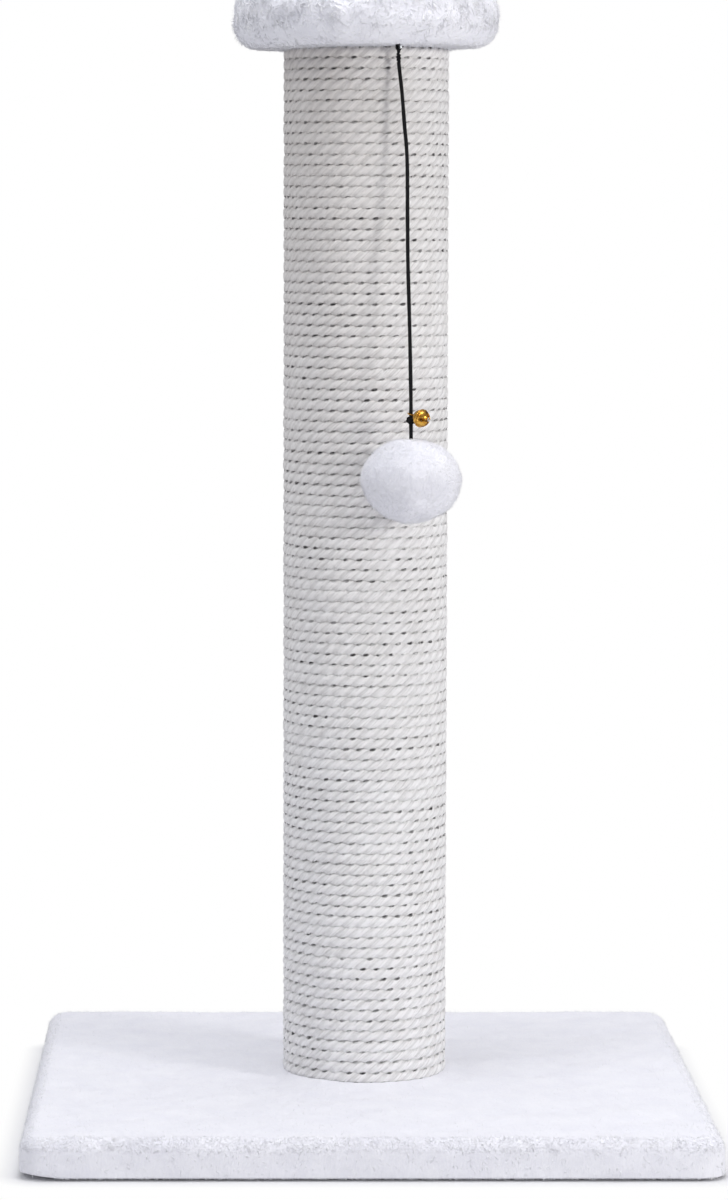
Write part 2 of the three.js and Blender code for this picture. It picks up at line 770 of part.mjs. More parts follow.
/** A small knot, pulled tight: a ball with a waist round its middle. */
function knotShape(radius) {
  return turned([
    [0, -radius], [radius * 0.7, -radius * 0.75], [radius, -radius * 0.35], [radius * 0.86, 0],
    [radius, radius * 0.35], [radius * 0.7, radius * 0.75], [0, radius],
  ], 10);
}

function circleShape(radius, sides) {
  const corners = Array.from({ length: sides }, (_, i) => {
    const angle = i * 2 * Math.PI / sides;
    return new THREE.Vector2(radius * Math.cos(angle), radius * Math.sin(angle));
  });
  return new THREE.Shape(corners);
}

function elasticAlong(points, steps) {
  return new THREE.ExtrudeGeometry(circleShape(elasticRadius, 8), {
    steps,
    bevelEnabled: false,
    extrudePath: new THREE.CatmullRomCurve3(points),
  });
}

/** A group at a place whose +Z points along a direction and whose +Y leans to a second one. */
function facing(place, up, side) {
  const z = up.clone().normalize();
  const y = side.clone().addScaledVector(z, -side.dot(z)).normalize();
  const x = y.clone().cross(z);
  const group = new THREE.Group();
  group.quaternion.setFromRotationMatrix(new THREE.Matrix4().makeBasis(x, y, z));
  group.position.copy(place);
  return group;
}

function ball(cordDirection) {
  const group = facing(ballPlace, cordDirection.clone().negate(), outward);
  const channel = elasticRadius + clearance + 0.1;
  const outer = [ballWidth / 2, ballHeight / 2];
  const inner = outer.map((half) => half - ballCoverThickness);
  const cover = turned([
    ...ellipseSide(...outer, channel, 12),
    ...ellipseSide(...inner, channel, 7).reverse(),
  ], ballFacets);
  group.add(piece('ball_plush_cover', cover, 'plush'));

  const fill = inner.map((half) => half - clearance);
  const cavity = ballKnotRadius + 2 * clearance;
  const filling = turned([
    ...ellipseSide(...fill, channel, 7),
    ...ellipseSide(cavity, cavity, channel, 4).reverse(),
  ], ballFacets);
  group.add(piece('ball_filling', filling, 'wadding'));
  group.add(piece('ball_knot', knotShape(ballKnotRadius), 'elastic'));
  return group;
}

/** The bell's upper half, open at its top for the eye's stem, with a rim round its middle. */
function upperBell(opening) {
  const inner = bellRadius - bellWall;
  const [rimRadius, half] = [bellRadius + bellRimWidth, clearance / 2];
  const degrees = THREE.MathUtils.radToDeg;
  return turned([
    [rimRadius, half],
    [rimRadius, half + bellWall],
    ...arc(0, 0, bellRadius, degrees(Math.asin((half + bellWall) / bellRadius)),
      degrees(Math.acos(opening / bellRadius)), 4),
    ...arc(0, 0, inner, degrees(Math.acos(opening / inner)), degrees(Math.asin(half / inner)), 4),
    [rimRadius, half],
  ], bellFacets);
}

/** The bell's lower half, a bowl with the same rim. */
function lowerBell() {
  const inner = bellRadius - bellWall;
  const [rimRadius, half] = [bellRadius + bellRimWidth, clearance / 2];
  const degrees = THREE.MathUtils.radToDeg;
  return turned([
    ...arc(0, 0, bellRadius, -90, -degrees(Math.asin((half + bellWall) / bellRadius)), 4),
    [rimRadius, -half - bellWall],
    [rimRadius, -half],
    ...arc(0, 0, inner, -degrees(Math.asin(half / inner)), -90, 4),
  ], bellFacets);
}

function bell(cordDirection) {
  const up = bellEyePlace.clone().sub(bellPlace);
  const group = facing(bellPlace, up, cordDirection);
  const stemHole = bellStemRadius + clearance;
  group.add(piece('bell_upper_shell', upperBell(stemHole), 'gold'));

  const { width, length, holeRadius } = bellSlot;
  const slots = [0, 1].flatMap((turn) => [
    block(length, width, -bellRadius - 1, 0),
    disc(holeRadius, -bellRadius - 1, 0, 8).translate(length / 2, 0, 0),
    disc(holeRadius, -bellRadius - 1, 0, 8).translate(-length / 2, 0, 0),
  ].map((shape) => shape.rotateZ(turn * Math.PI / 2)));
  const belowRim = block(4 * bellRadius, 4 * bellRadius, -2 * bellRadius, -clearance - 2 * bellWall);
  const openings = slots.map((slot) => toGeometry(toSolid(slot).intersect(toSolid(belowRim))));
  group.add(piece('bell_lower_shell', cut(lowerBell(), ...openings), 'gold'));

  const eyeDistance = up.length();
  const loop = new THREE.TorusGeometry(bellEyeRadius, bellWireRadius, 6, 12).rotateX(Math.PI / 2);
  const stemBottom = bellRadius - bellWall - 2 * clearance;
  const stem = disc(bellStemRadius, stemBottom, eyeDistance - bellEyeRadius, 8);
  const foot = disc(bellStemRadius + 0.9, stemBottom - 0.4, stemBottom, 8);
  group.add(piece('bell_eye', join(loop.translate(0, 0, eyeDistance), stem, foot), 'gold'));
  return group;
}

function toy() {
  const group = new THREE.Group();
  group.position.copy(toyAnchor);
  const down = new THREE.Vector3(0, 0, -1);

  const loop = new THREE.TorusGeometry(loopRadius, elasticRadius, 8, 12)
    .rotateX(Math.PI / 2)
    .rotateZ(toyAzimuth);
  group.add(piece('elastic_loop', loop, 'elastic'));
  const topKnotDepth = loopRadius + elasticRadius + clearance + topKnotRadius;
  const topKnot = knotShape(topKnotRadius).translate(0, 0, -topKnotDepth);
  group.add(piece('elastic_top_knot', topKnot, 'elastic'));

  const route = elasticRoute.map(([x, y, z]) => new THREE.Vector3(x, y, z));
  group.add(piece('elastic_cord', elasticAlong(route, 38), 'elastic'));

  const lowerKnot = knotShape(lowerKnotRadius)
    .translate(lowerKnotPlace.x, lowerKnotPlace.y, lowerKnotPlace.z);
  group.add(piece('elastic_lower_knot', lowerKnot, 'elastic'));

  const cordDirection = ballPlace.clone().sub(lowerKnotPlace).normalize();
  const tailStart = lowerKnotPlace.clone()
    .addScaledVector(cordDirection, lowerKnotRadius + clearance);
  const tailEnd = ballPlace.clone().addScaledVector(cordDirection, -ballKnotRadius - clearance);
  group.add(piece('elastic_tail', elasticAlong([tailStart, tailEnd], 4), 'elastic'));

  group.add(ball(cordDirection));
  group.add(bell(cordDirection));
  const peaDrop = bellRadius - bellWall - peaRadius - 1.5 * clearance;
  const pea = new THREE.SphereGeometry(peaRadius, 8, 6)
    .translate(bellPlace.x, bellPlace.y, bellPlace.z)
    .translate(0, 0, down.z * peaDrop);
  group.add(piece('bell_pea', pea, 'steel'));
  return group;
}

const scratchingPost = new THREE.Group();
scratchingPost.name = 'cat_scratching_post';
scratchingPost.add(base(), post(), rope(), platform(), toy());

export default scratchingPost;
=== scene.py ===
"""
Looks of a cat scratching post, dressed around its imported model.

Metres, +Z up. The origin is on the floor on the post's axis, and the front faces -Y. The rope,
the plush covers, the ball, the elastic and the bell are modelled here. The other solids keep their
shape and get a finish.
"""
import json
import math

import bmesh
import bpy
import numpy as np
from mathutils import Matrix, Vector, kdtree

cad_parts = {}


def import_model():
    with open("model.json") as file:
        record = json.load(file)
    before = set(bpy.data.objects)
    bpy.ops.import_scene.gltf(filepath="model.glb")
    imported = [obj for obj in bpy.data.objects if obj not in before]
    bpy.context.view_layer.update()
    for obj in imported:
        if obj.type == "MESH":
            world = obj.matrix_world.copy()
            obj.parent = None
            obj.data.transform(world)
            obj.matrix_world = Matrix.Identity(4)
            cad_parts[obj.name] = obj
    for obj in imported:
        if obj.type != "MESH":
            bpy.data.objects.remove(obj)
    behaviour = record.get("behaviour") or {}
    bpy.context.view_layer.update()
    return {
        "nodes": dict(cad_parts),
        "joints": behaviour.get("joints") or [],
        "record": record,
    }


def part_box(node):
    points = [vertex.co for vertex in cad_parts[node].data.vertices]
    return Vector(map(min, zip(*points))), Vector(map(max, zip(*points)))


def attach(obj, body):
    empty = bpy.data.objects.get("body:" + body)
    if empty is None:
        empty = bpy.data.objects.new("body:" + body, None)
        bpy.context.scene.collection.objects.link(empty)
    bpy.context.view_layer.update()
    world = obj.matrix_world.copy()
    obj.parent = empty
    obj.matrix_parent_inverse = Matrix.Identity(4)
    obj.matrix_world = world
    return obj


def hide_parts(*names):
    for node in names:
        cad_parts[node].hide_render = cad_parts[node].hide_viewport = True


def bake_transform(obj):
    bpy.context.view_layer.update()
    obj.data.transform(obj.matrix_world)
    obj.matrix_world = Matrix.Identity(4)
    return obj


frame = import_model()

MM = 0.001
TAU = 2 * math.pi
FIELD_WAVES = 14            # in a random field over a surface
ONE_POINT = 1e-7            # points nearer to each other than this are one


def in_scene(name, data):
    made = bpy.data.objects.new(name, data)
    bpy.context.scene.collection.objects.link(made)
    return made


# ----- Camera -----

CAMERA_PLACE = Vector((-0.0664, -2.639, 0.5525))
CAMERA_PITCH = math.radians(5.28)       # below the horizon
FOCAL_PIXELS = 4433.0                   # in the photograph's 728 x 1200 frame
FRAME_HEIGHT_PIXELS = 1200.0
PRINCIPAL_X_PIXELS = 254.1
FRAME_MIDDLE_PIXELS = 364.0
SENSOR = 36.0
NEAREST_SEEN = 0.05
FARTHEST_SEEN = 100.0


def camera():
    data = bpy.data.cameras.new("camera")
    data.sensor_width = SENSOR
    data.lens = SENSOR * FOCAL_PIXELS / FRAME_HEIGHT_PIXELS
    data.shift_x = (FRAME_MIDDLE_PIXELS - PRINCIPAL_X_PIXELS) / FRAME_HEIGHT_PIXELS
    data.clip_start = NEAREST_SEEN
    data.clip_end = FARTHEST_SEEN
    body = in_scene("camera", data)
    body.location = CAMERA_PLACE
    body.rotation_euler = (math.pi / 2 - CAMERA_PITCH, 0, 0)
    bpy.context.scene.camera = body


camera()

# ----- Meshes -----


def new_piece(name, points, faces, finish, body):
    """A mesh that rides on a body, if one is given. faces lists blocks of faces of one kind."""
    mesh = bpy.data.meshes.new(name)
    corners = [face for block in faces for face in np.asarray(block).tolist()]
    mesh.from_pydata(np.asarray(points, float), [], corners)
    mesh.materials.append(finish)
    mesh.polygons.foreach_set("use_smooth", [True] * len(mesh.polygons))
    mesh.update()
    piece = in_scene(name, mesh)
    if body:
        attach(piece, body)
    return piece


def closed_rows(rows):
    """Quads through closed rows of points, the last row joined to the first, but none between
    two rows on the axis."""
    count, columns = len(rows), len(rows[0])
    row, column = np.meshgrid(np.arange(count), np.arange(columns), indexing="ij")
    here = row * columns
    above = ((row + 1) % count) * columns
    beside = (column + 1) % columns
    quads = np.stack([here + column, here + beside, above + beside, above + column], -1)
    on_axis = [np.ptp(points, axis=0).max() < ONE_POINT for points in rows]
    kept = [quads[i] for i in range(count) if not (on_axis[i] and on_axis[(i + 1) % count])]
    return np.concatenate(kept)


def rows_piece(name, rows, finish, body, capped=False):
    """A piece through closed rows of points. Its last row is joined to the first, or both ends
    get a cap."""
    faces = [closed_rows(rows)]
    if capped:
        end = np.arange(len(rows[0]))
        last = (len(rows) - 1) * len(end)
        faces = [faces[0][:-len(end)], [end[::-1]], [last + end]]
    return new_piece(name, np.concatenate(rows), faces, finish, body)


def weld(piece, change=None):
    """Joins points that lie together and turns the faces outward, after a change to the mesh."""
    mesh = bmesh.new()
    mesh.from_mesh(piece.data)
    if change:
        change(mesh)
    bmesh.ops.remove_doubles(mesh, verts=mesh.verts, dist=ONE_POINT)
    bmesh.ops.recalc_face_normals(mesh, faces=mesh.faces)
    mesh.to_mesh(piece.data)
    mesh.free()


def ease(value, low, high):
    """0 below low, 1 above high and a smooth step between."""
    share = np.clip((value - low) / (high - low), 0, 1)
    return share * share * (3 - 2 * share)


def unit(vectors):
    return vectors / np.maximum(np.linalg.norm(vectors, axis=-1, keepdims=True), 1e-12)


def waves(points, wavelength, seed):
    """A smooth random field over points, mostly within -1 and 1, from waves in all directions."""
    random = np.random.default_rng(seed)
    directions = unit(random.normal(size=(FIELD_WAVES, 3)))
    lengths = wavelength * random.uniform(0.75, 1.35, FIELD_WAVES)
    phases = random.uniform(0, TAU, FIELD_WAVES)
    angles = points @ (directions / lengths[:, None]).T * TAU + phases
    return np.sin(angles).sum(-1) / math.sqrt(FIELD_WAVES)


# ----- Finishes -----


def linear(red, green, blue):
    """A colour given as it shows, from 0 to 255, in the shader's linear values."""
    def channel(value):
        share = value / 255
        return share / 12.92 if share <= 0.04045 else ((share + 0.055) / 1.055) ** 2.4
    return (channel(red), channel(green), channel(blue), 1.0)


class Finish:
    """A Principled material and short ways to add texture nodes to it."""

    def __init__(self, name, **sockets):
        self.material = bpy.data.materials.new(name)
        self.material.use_nodes = True
        self.tree = self.material.node_tree
        self.shader = self.tree.nodes["Principled BSDF"]
        for socket, value in sockets.items():
            self.shader.inputs[socket.replace("_", " ")].default_value = value

    def node(self, kind, inputs=(), **settings):
        made = self.tree.nodes.new("ShaderNode" + kind)
        for setting, value in settings.items():
            setattr(made, setting, value)
        for socket, value in dict(inputs).items():
            if isinstance(value, bpy.types.NodeSocket):
                self.tree.links.new(value, made.inputs[socket])
            else:
                made.inputs[socket].default_value = value
        return made

    def place(self, stretch=(1, 1, 1)):
        coordinates = self.node("TexCoord").outputs["Object"]
        return self.node("Mapping", {"Vector": coordinates, "Scale": stretch}).outputs[0]

    def noise(self, scale, detail, stretch=(1, 1, 1), roughness=0.55, place=None):
        return self.node("TexNoise", {
            "Vector": place or self.place(stretch), "Scale": scale, "Detail": detail,
            "Roughness": roughness}).outputs["Fac"]

    def cells(self, scale, stretch=(1, 1, 1), output="Distance"):
        place = self.place(stretch)
        return self.node("TexVoronoi", {"Vector": place, "Scale": scale}).outputs[output]

    def ramp(self, value, *stops):
        """Colours along a value from 0 to 1. A stop is a place and the red, green and blue there."""
        made = self.node("ValToRGB", {"Fac": value})
        elements = made.color_ramp.elements
        while len(elements) < len(stops):
            elements.new(0.5)
        for element, (position, *colour) in zip(elements, stops):
            element.position = position
            element.color = linear(*colour)
        return made.outputs["Color"]

    def mix(self, share, first, second):
        return self.node("Mix", {0: share, 6: first, 7: second}, data_type="RGBA").outputs[2]

    def maths(self, operation, *values):
        return self.node("Math", dict(enumerate(values)), operation=operation).outputs[0]

    def spread(self, value, low, high, to_low=0.0, to_high=1.0, smooth=False):
        """A value between low and high, taken to between to_low and to_high."""
        return self.node("MapRange", {
            "Value": value, "From Min": low, "From Max": high, "To Min": to_low, "To Max": to_high},
            interpolation_type="SMOOTHSTEP" if smooth else "LINEAR").outputs[0]

    def attribute(self, name):
        return self.node("Attribute", attribute_name=name).outputs["Fac"]

    def colour(self, socket):
        self.tree.links.new(socket, self.shader.inputs["Base Color"])

    def roughness(self, socket, low, high):
        spread = self.spread(socket, 0.0, 1.0, low, high)
        self.tree.links.new(spread, self.shader.inputs["Roughness"])

    def bump(self, height, distance, strength, onto=None):
        inputs = {"Height": height, "Distance": distance, "Strength": strength}
        if onto:
            inputs["Normal"] = onto
        made = self.node("Bump", inputs).outputs[0]
        self.tree.links.new(made, self.shader.inputs["Normal"])
        return made


GAP_HALF_LENGTH = 0.24      # of a strand
GAP_HALF_HEIGHT = 0.3       # of half the rope's pitch
GAP_SLANT = 0.2             # strands along, for half a pitch up
STRANDS = 3                 # in the rope
GROOVE_SHADE = 0.2       # painted shade where two strands meet


def plush_finish():
    """The woven ground and lower pile of the plush."""
    finish = Finish("plush", Roughness=0.95, Sheen_Weight=0.1, Sheen_Roughness=0.6)
    strands = finish.noise(900, 2, (1, 1, 0.35))
    patches = finish.ramp(finish.noise(45, 3), (0.3, 235, 235, 242), (0.7, 242, 242, 247))
    threads = finish.ramp(strands, (0.35, 222, 222, 233), (0.62, 249, 249, 252))
    finish.colour(finish.mix(0.15, patches, threads))
    finish.bump(strands, 0.0003, 0.5, finish.bump(finish.noise(260, 3), 0.0006, 0.4))
    return finish.material


def pile_finish():
    """The tips of the pile."""
    finish = Finish("pile", Roughness=0.85, Sheen_Weight=0.1, Sheen_Roughness=0.5)
    finish.colour(finish.ramp(finish.noise(120, 2), (0.3, 242, 242, 247), (0.7, 251, 251, 253)))
    finish.bump(finish.noise(2500, 1), 0.0001, 0.3)
    return finish.material


def rope_gap_shade(finish):
    """Painted shade in the small gaps where two turns touch, one spot to a strand and drawn over
    along it.
    """
    maths = finish.maths
    rise = finish.attribute("rise")
    side = maths("SIGN", rise)
    from_seam = maths("SUBTRACT", rise, side)
    strand = maths("SUBTRACT", finish.attribute("strand_count"), maths("MULTIPLY", side, 0.25))
    place = maths("SUBTRACT", strand, maths("MULTIPLY", from_seam, GAP_SLANT))
    nearest = maths("WRAP", maths("ADD", place, 0.25), 0.5, -0.5)
    across = maths("POWER", maths("DIVIDE", nearest, GAP_HALF_LENGTH), 2.0)
    up = maths("POWER", maths("DIVIDE", from_seam, GAP_HALF_HEIGHT), 2.0)
    shape = finish.spread(maths("ADD", across, up), 0.3, 1.3, 1.0, 0.0, smooth=True)
    # Random patches where the painted gap shade is weaker.
    patchy = finish.spread(finish.noise(240, 1), 0.35, 0.6)
    # The "open" attribute gives the painted gap shade's strength for each turn.
    return maths("MULTIPLY", maths("MULTIPLY", shape, finish.attribute("open")), patchy)


def rope_finish():
    """Sisal: pale strands of fibre, with painted shade where they meet and in the gaps between
    turns, and painted shade, a little browner, near the top and to the left.
    """
    finish = Finish("rope", Roughness=0.9, Sheen_Weight=0.1)
    along = finish.node("UVMap", uv_map="strand").outputs[0]
    stretched = finish.node("Mapping", {"Vector": along, "Scale": (24, 3.2, 1)}).outputs[0]
    fibres = finish.noise(1, 3, roughness=0.7, place=stretched)
    tone = finish.ramp(fibres, (0.36, 212, 210, 209), (0.5, 249, 248, 248), (0.62, 254, 254, 254))
    blotches = finish.ramp(finish.noise(70, 2), (0.35, 242, 240, 238), (0.65, 253, 252, 252))
    patchy = finish.mix(0.35, tone, blotches)
    # Painted shade: darker and browner towards the top, and more so to the left.
    place = finish.node("SeparateXYZ", {0: finish.place()}).outputs
    upper = finish.spread(place["Z"], 0.2, 0.66, 0.0, 0.5)
    leftward = finish.spread(place["X"], -0.02, 0.045, 1.0, 0.3)
    top_left_shade = finish.mix(finish.maths("MULTIPLY", upper, leftward), patchy, linear(196, 186, 176))
    # Painted shade in the grooves where two strands meet.
    across = finish.node("SeparateXYZ", {0: along}).outputs["X"]
    from_groove = finish.maths("WRAP", finish.maths("MULTIPLY", across, STRANDS), 0.5, -0.5)
    groove = finish.spread(finish.maths("ABSOLUTE", from_groove), 0.02, 0.26, GROOVE_SHADE, 0.0,
                           smooth=True)
    grooved = finish.mix(groove, top_left_shade, linear(120, 117, 116))
    # Painted shade: near-black spots in the gaps between turns.
    finish.colour(finish.mix(rope_gap_shade(finish), grooved, linear(60, 57, 57)))
    finish.bump(fibres, 0.0004, 0.8)
    return finish.material


def wood_finish():
    """Chipboard of the boards and plugs."""
    finish = Finish("board", Roughness=0.8)
    tone = finish.ramp(finish.cells(260, (1, 0.45, 1), "Color"), (0.1, 150, 112, 70),
                       (0.9, 214, 182, 134))
    finish.colour(finish.mix(finish.noise(60, 4), tone, linear(196, 164, 118)))
    finish.bump(finish.cells(260, (1, 0.45, 1)), 0.0003, 0.6)
    return finish.material


def plain_finish(name, pattern, low, high, bump, shine, sockets):
    """Two tones and a bump from one pattern, and for a metal its roughness from another."""
    finish = Finish(name, **sockets)
    make, *settings = pattern
    value = make(finish, *settings)
    finish.colour(finish.ramp(value, low, high))
    if bump:
        finish.bump(value, *bump)
    if shine:
        scale, detail, stretch, *ends = shine
        finish.roughness(finish.noise(scale, detail, stretch), *ends)
    return finish.material


NOISE = Finish.noise
CELLS = Finish.cells
PLAIN_FINISHES = (
    # name, pattern, stops of its tones, bump, shine, sockets
    ("cardboard", (NOISE, 400, 4, (1, 1, 0.3)), (0.3, 142, 112, 78), (0.7, 178, 148, 108),
     (0.0002, 0.4), None, {"Roughness": 0.9}),
    ("felt", (NOISE, 700, 5), (0.3, 40, 41, 44), (0.7, 84, 86, 92),
     (0.0004, 0.8), None, {"Roughness": 1.0, "Sheen_Weight": 0.3}),
    ("steel", (NOISE, 300, 4, (1, 1, 8)), (0.3, 176, 180, 184), (0.7, 206, 208, 210),
     None, (300, 4, (1, 1, 8), 0.25, 0.45), {"Metallic": 1.0}),
    ("foam", (CELLS, 900), (0.0, 214, 204, 168), (0.5, 242, 236, 212),
     (0.0004, 0.7), None, {"Roughness": 1.0}),
    ("wadding", (NOISE, 300, 5), (0.3, 226, 226, 230), (0.7, 248, 248, 250),
     (0.001, 0.7), None, {"Roughness": 1.0, "Sheen_Weight": 0.3}),
    ("elastic", (CELLS, 1500, (1, 1, 0.6)), (0.1, 26, 26, 30), (0.6, 8, 8, 10),
     (-0.0002, 0.8), None, {"Roughness": 0.75, "Specular_IOR_Level": 0.2}),
    ("gold", (NOISE, 420, 3), (0.35, 186, 128, 44), (0.6, 226, 178, 84),
     (0.00005, 0.5), (900, 2, (1, 1, 1), 0.14, 0.34), {"Metallic": 1.0}),
)
FINISHES = {"plush": plush_finish(), "rope": rope_finish(), "board": wood_finish()}
FINISHES.update({row[0]: plain_finish(*row) for row in PLAIN_FINISHES})
PILE = pile_finish()

for part in frame["record"]["subparts"]:
    node = frame["nodes"][part["node"]]
    node.data.materials.clear()
    node.data.materials.append(FINISHES[part["material_slot"]])

# ----- Elastic cord, with its loop and knots -----

TOY_ANCHOR = np.array(frame["joints"][0]["pos_m"])  # middle of the staple's crown
OUTWARD = np.array(frame["joints"][0]["axis"])
ELASTIC_DIAMETER = 2.2 * MM
ELASTIC_ROUTE_MM = [
    [0, 0, -8.1],
    [0.75, -0.8, -15],
    [1.75, -1.7, -24],
    [2.6, -2.7, -34],
    [3.4, -3.8, -45],
    [4.5, -4.9, -57],
    [5.0, -6.0, -69],
    [5.1, -7.1, -81],
    [5.1, -8.3, -94],
    [5.2, -9.5, -107],
    [5.3, -10.7, -120],
    [5.6, -11.9, -133],
    [5.95, -13.1, -146],
    [6.3, -14.3, -159],
    [6.6, -15.5, -172],
    [6.85, -16.7, -185],
    [7.05, -17.8, -198],
    [7.15, -18.8, -209],
    [7.15, -19.1, -212.8],
]
LOWER_KNOT = TOY_ANCHOR + np.array([7.1, -19.3, -215]) * MM
BALL_CENTRE = TOY_ANCHOR + np.array([7.47, -22.44, -249.8]) * MM
BALL_KNOT_RADIUS = 3 * MM
CORD_DIRECTION = unit(BALL_CENTRE - LOWER_KNOT)
LOOP_ELASTIC_RADIUS = 0.9 * MM      # pulled thin
LOOP_HALF_WIDTH = 1.2 * MM


def smooth_line(points, count):
    """Points at equal steps along a smooth curve through the given ones."""
    points = np.asarray(points, float)
    padded = np.vstack([2 * points[0] - points[1], points, 2 * points[-1] - points[-2]])
    fine = []
    for i in range(len(points) - 1):
        p0, p1, p2, p3 = padded[i:i + 4]
        for t in np.linspace(0, 1, 24, endpoint=False):
            fine.append(0.5 * (2 * p1 + (p2 - p0) * t + (2 * p0 - 5 * p1 + 4 * p2 - p3) * t ** 2
                               + (3 * p1 - p0 - 3 * p2 + p3) * t ** 3))
    fine = np.vstack([fine, points[-1]])
    steps = np.linalg.norm(np.diff(fine, axis=0), axis=1)
    along = np.concatenate([[0], np.cumsum(steps)])
    wanted = np.linspace(0, along[-1], count)
    return np.stack([np.interp(wanted, along, fine[:, axis]) for axis in range(3)], -1)


def tube(line, radii, sides, closed=False):
    """Rings of points round a line that turn as little as they can from one to the next."""
    if closed:
        tangents = unit(np.roll(line, -1, 0) - np.roll(line, 1, 0))
    else:
        tangents = unit(np.gradient(line, axis=0))
    side = unit(np.cross(tangents[0], [0.3, 0.9, 0.2]))
    angles = np.arange(sides) * TAU / sides
    rings = np.empty((len(line), sides, 3))
    for i in range(len(line)):
        side = unit(side - tangents[i] * (side @ tangents[i]))
        up = np.cross(tangents[i], side)
        around = np.outer(np.cos(angles), side) + np.outer(np.sin(angles), up)
        rings[i] = line[i] + radii[i] * around
    return rings


def elastic_piece(name, line, radii, sides, body):
    """Elastic along a line, closed at both ends."""
    piece = rows_piece(name, tube(line, radii, sides), FINISHES["elastic"], body, capped=True)
    return piece


def elastic():
    line = [TOY_ANCHOR + np.array(point) * MM for point in ELASTIC_ROUTE_MM]
    line.append(LOWER_KNOT)
    line.append(LOWER_KNOT + CORD_DIRECTION * 12 * MM)
    line.append(BALL_CENTRE - CORD_DIRECTION * (BALL_KNOT_RADIUS + 0.3 * MM))
    path = smooth_line(line, 190)
    radii = ELASTIC_DIAMETER / 2 * (1 + 0.03 * waves(path, 9 * MM, 5))
    piece = elastic_piece("elastic", path, radii, 14, None)
    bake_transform(piece)
    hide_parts("elastic_cord", "elastic_tail")
    length = float(np.linalg.norm(np.diff(path, axis=0), axis=1).sum())
    return piece, line, path, length


def knot(name, centre, axis, radius, half_length, turns, thickness, body, node):
    """An overhand knot's turns: a short helix pulled tight round the cord."""
    axis = unit(np.asarray(axis, float))
    side = unit(np.cross(axis, [0.2, 1, 0.1]))
    up = np.cross(axis, side)
    t = np.linspace(0, 1, 80)
    angle = TAU * turns * t
    wide = (radius * (0.55 + 0.45 * np.sin(math.pi * t)))[:, None]
    along = (2 * t - 1) * half_length
    line = (np.asarray(centre) + np.outer(along, axis) + np.cos(angle)[:, None] * wide * side
            + np.sin(angle)[:, None] * wide * up)
    taper = np.sin(np.linspace(0.12, math.pi - 0.12, len(line))) ** 0.25
    piece = elastic_piece(name, line, thickness / 2 * taper, 10, body)
    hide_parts(node)
    return piece


def elastic_loop():
    """The narrow loop over the staple's crown. Its two legs turn to lie one behind the other where
    they go down into the top knot."""
    low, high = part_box("elastic_loop")
    middle = (np.array(low) + np.array(high)) / 2
    half_height = (high.z - low.z) / 2 - LOOP_ELASTIC_RADIUS
    angles = np.linspace(0, TAU, 48, endpoint=False)
    height = half_height * np.cos(angles)
    reach = LOOP_HALF_WIDTH * np.sin(angles)
    turn = math.pi / 2 * ease(-height, -half_height * 0.2, half_height)
    across = np.cross(OUTWARD, [0, 0, 1])
    line = (middle + (reach * np.cos(turn))[:, None] * across
            + (reach * np.sin(turn))[:, None] * OUTWARD + np.outer(height, [0, 0, 1]))
    rings = tube(line, np.full(len(line), LOOP_ELASTIC_RADIUS), 12, closed=True)
    piece = rows_piece("elastic_loop_tight", rings, FINISHES["elastic"], "toy_pivot")
    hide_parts("elastic_loop")
    return piece


cord, cord_route, cord_path, cord_length = elastic()
top_knot_low, top_knot_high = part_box("elastic_top_knot")
top_knot_place = (Vector(top_knot_low) + Vector(top_knot_high)) / 2
cord_pieces = [
    elastic_loop(),
    knot("elastic_top_knot_turns", top_knot_place, (0.05, 0, -1), 0.7 * MM, 2.9 * MM, 3.4,
         1.6 * MM, "toy_pivot", "elastic_top_knot"),
    knot("elastic_lower_knot_turns", LOWER_KNOT, CORD_DIRECTION, 1.9 * MM, 1.7 * MM, 2.4,
         ELASTIC_DIAMETER, "toy_lower", "elastic_lower_knot"),
    frame["nodes"]["ball_knot"],
]

# ----- Rope -----

ROPE_START = math.radians(45)
ROPE_TURNS = 98.25
ROPE_PITCH = 6.151 * MM
ROPE_CENTRE_RADIUS = 45.8 * MM
ROPE_DEPTH = 3.25 * MM              # from its middle out
ROPE_HEIGHT = 4.15 * MM             # and up: more than half the pitch, as turns press together
ROPE_SQUASH = 2.9                   # 2 is a round rope, and more is squarer
STRANDS_PER_TURN = 36.5             # a half, so that strands line up from turn to turn
STRAND_PROFILE = (0.58, 0.86, 1.0, 0.86)   # radius across one strand, as a share
STRAND_RELIEF_OUT = 0.4             # of that on the worn outer side
ROPE_STEPS = 146                    # per turn, four to a strand
ROPE_PIECES = (
    # name, first and last turn, node that it stands for
    ("rope_lower", 0, 5, "rope_coil_bottom"),
    ("rope_tight_lower", 5, 49, "rope_middle"),
    ("rope_tight_upper", 49, 93, None),
    ("rope_upper", 93, ROPE_TURNS, "rope_coil_top"),
)
ROPE_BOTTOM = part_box("rope_coil_bottom")[0].z + 2.85 * MM
WANDER_WAVES = 10


def rope_wander(turn, size, seed, parallel=False):
    """Slow random drift along the rope. Turns next to each other differ, or drift together."""
    random = np.random.default_rng(seed)
    rates = random.uniform(0.35, 2.6, WANDER_WAVES)
    if parallel:
        rates = np.round(rates) + random.uniform(-0.03, 0.03, WANDER_WAVES)
    phases = random.uniform(0, TAU, WANDER_WAVES)
    return size * np.sin(np.outer(turn, rates) * TAU + phases).sum(1) / math.sqrt(WANDER_WAVES)


def rope_level(turn):
    """Height in turns. The lowest turn lies flat on the base and the highest flat under the
    platform, so each turn climbs behind the post, more at one side below and the other above."""
    whole = np.floor(turn)
    share = turn - whole
    on_base = ease(share, 0.86, 1.0)
    under_platform = 0.25 + ease(share, 0.25, 0.39)
    up = turn / ROPE_TURNS
    return whole + (1 - up) * on_base + up * under_platform


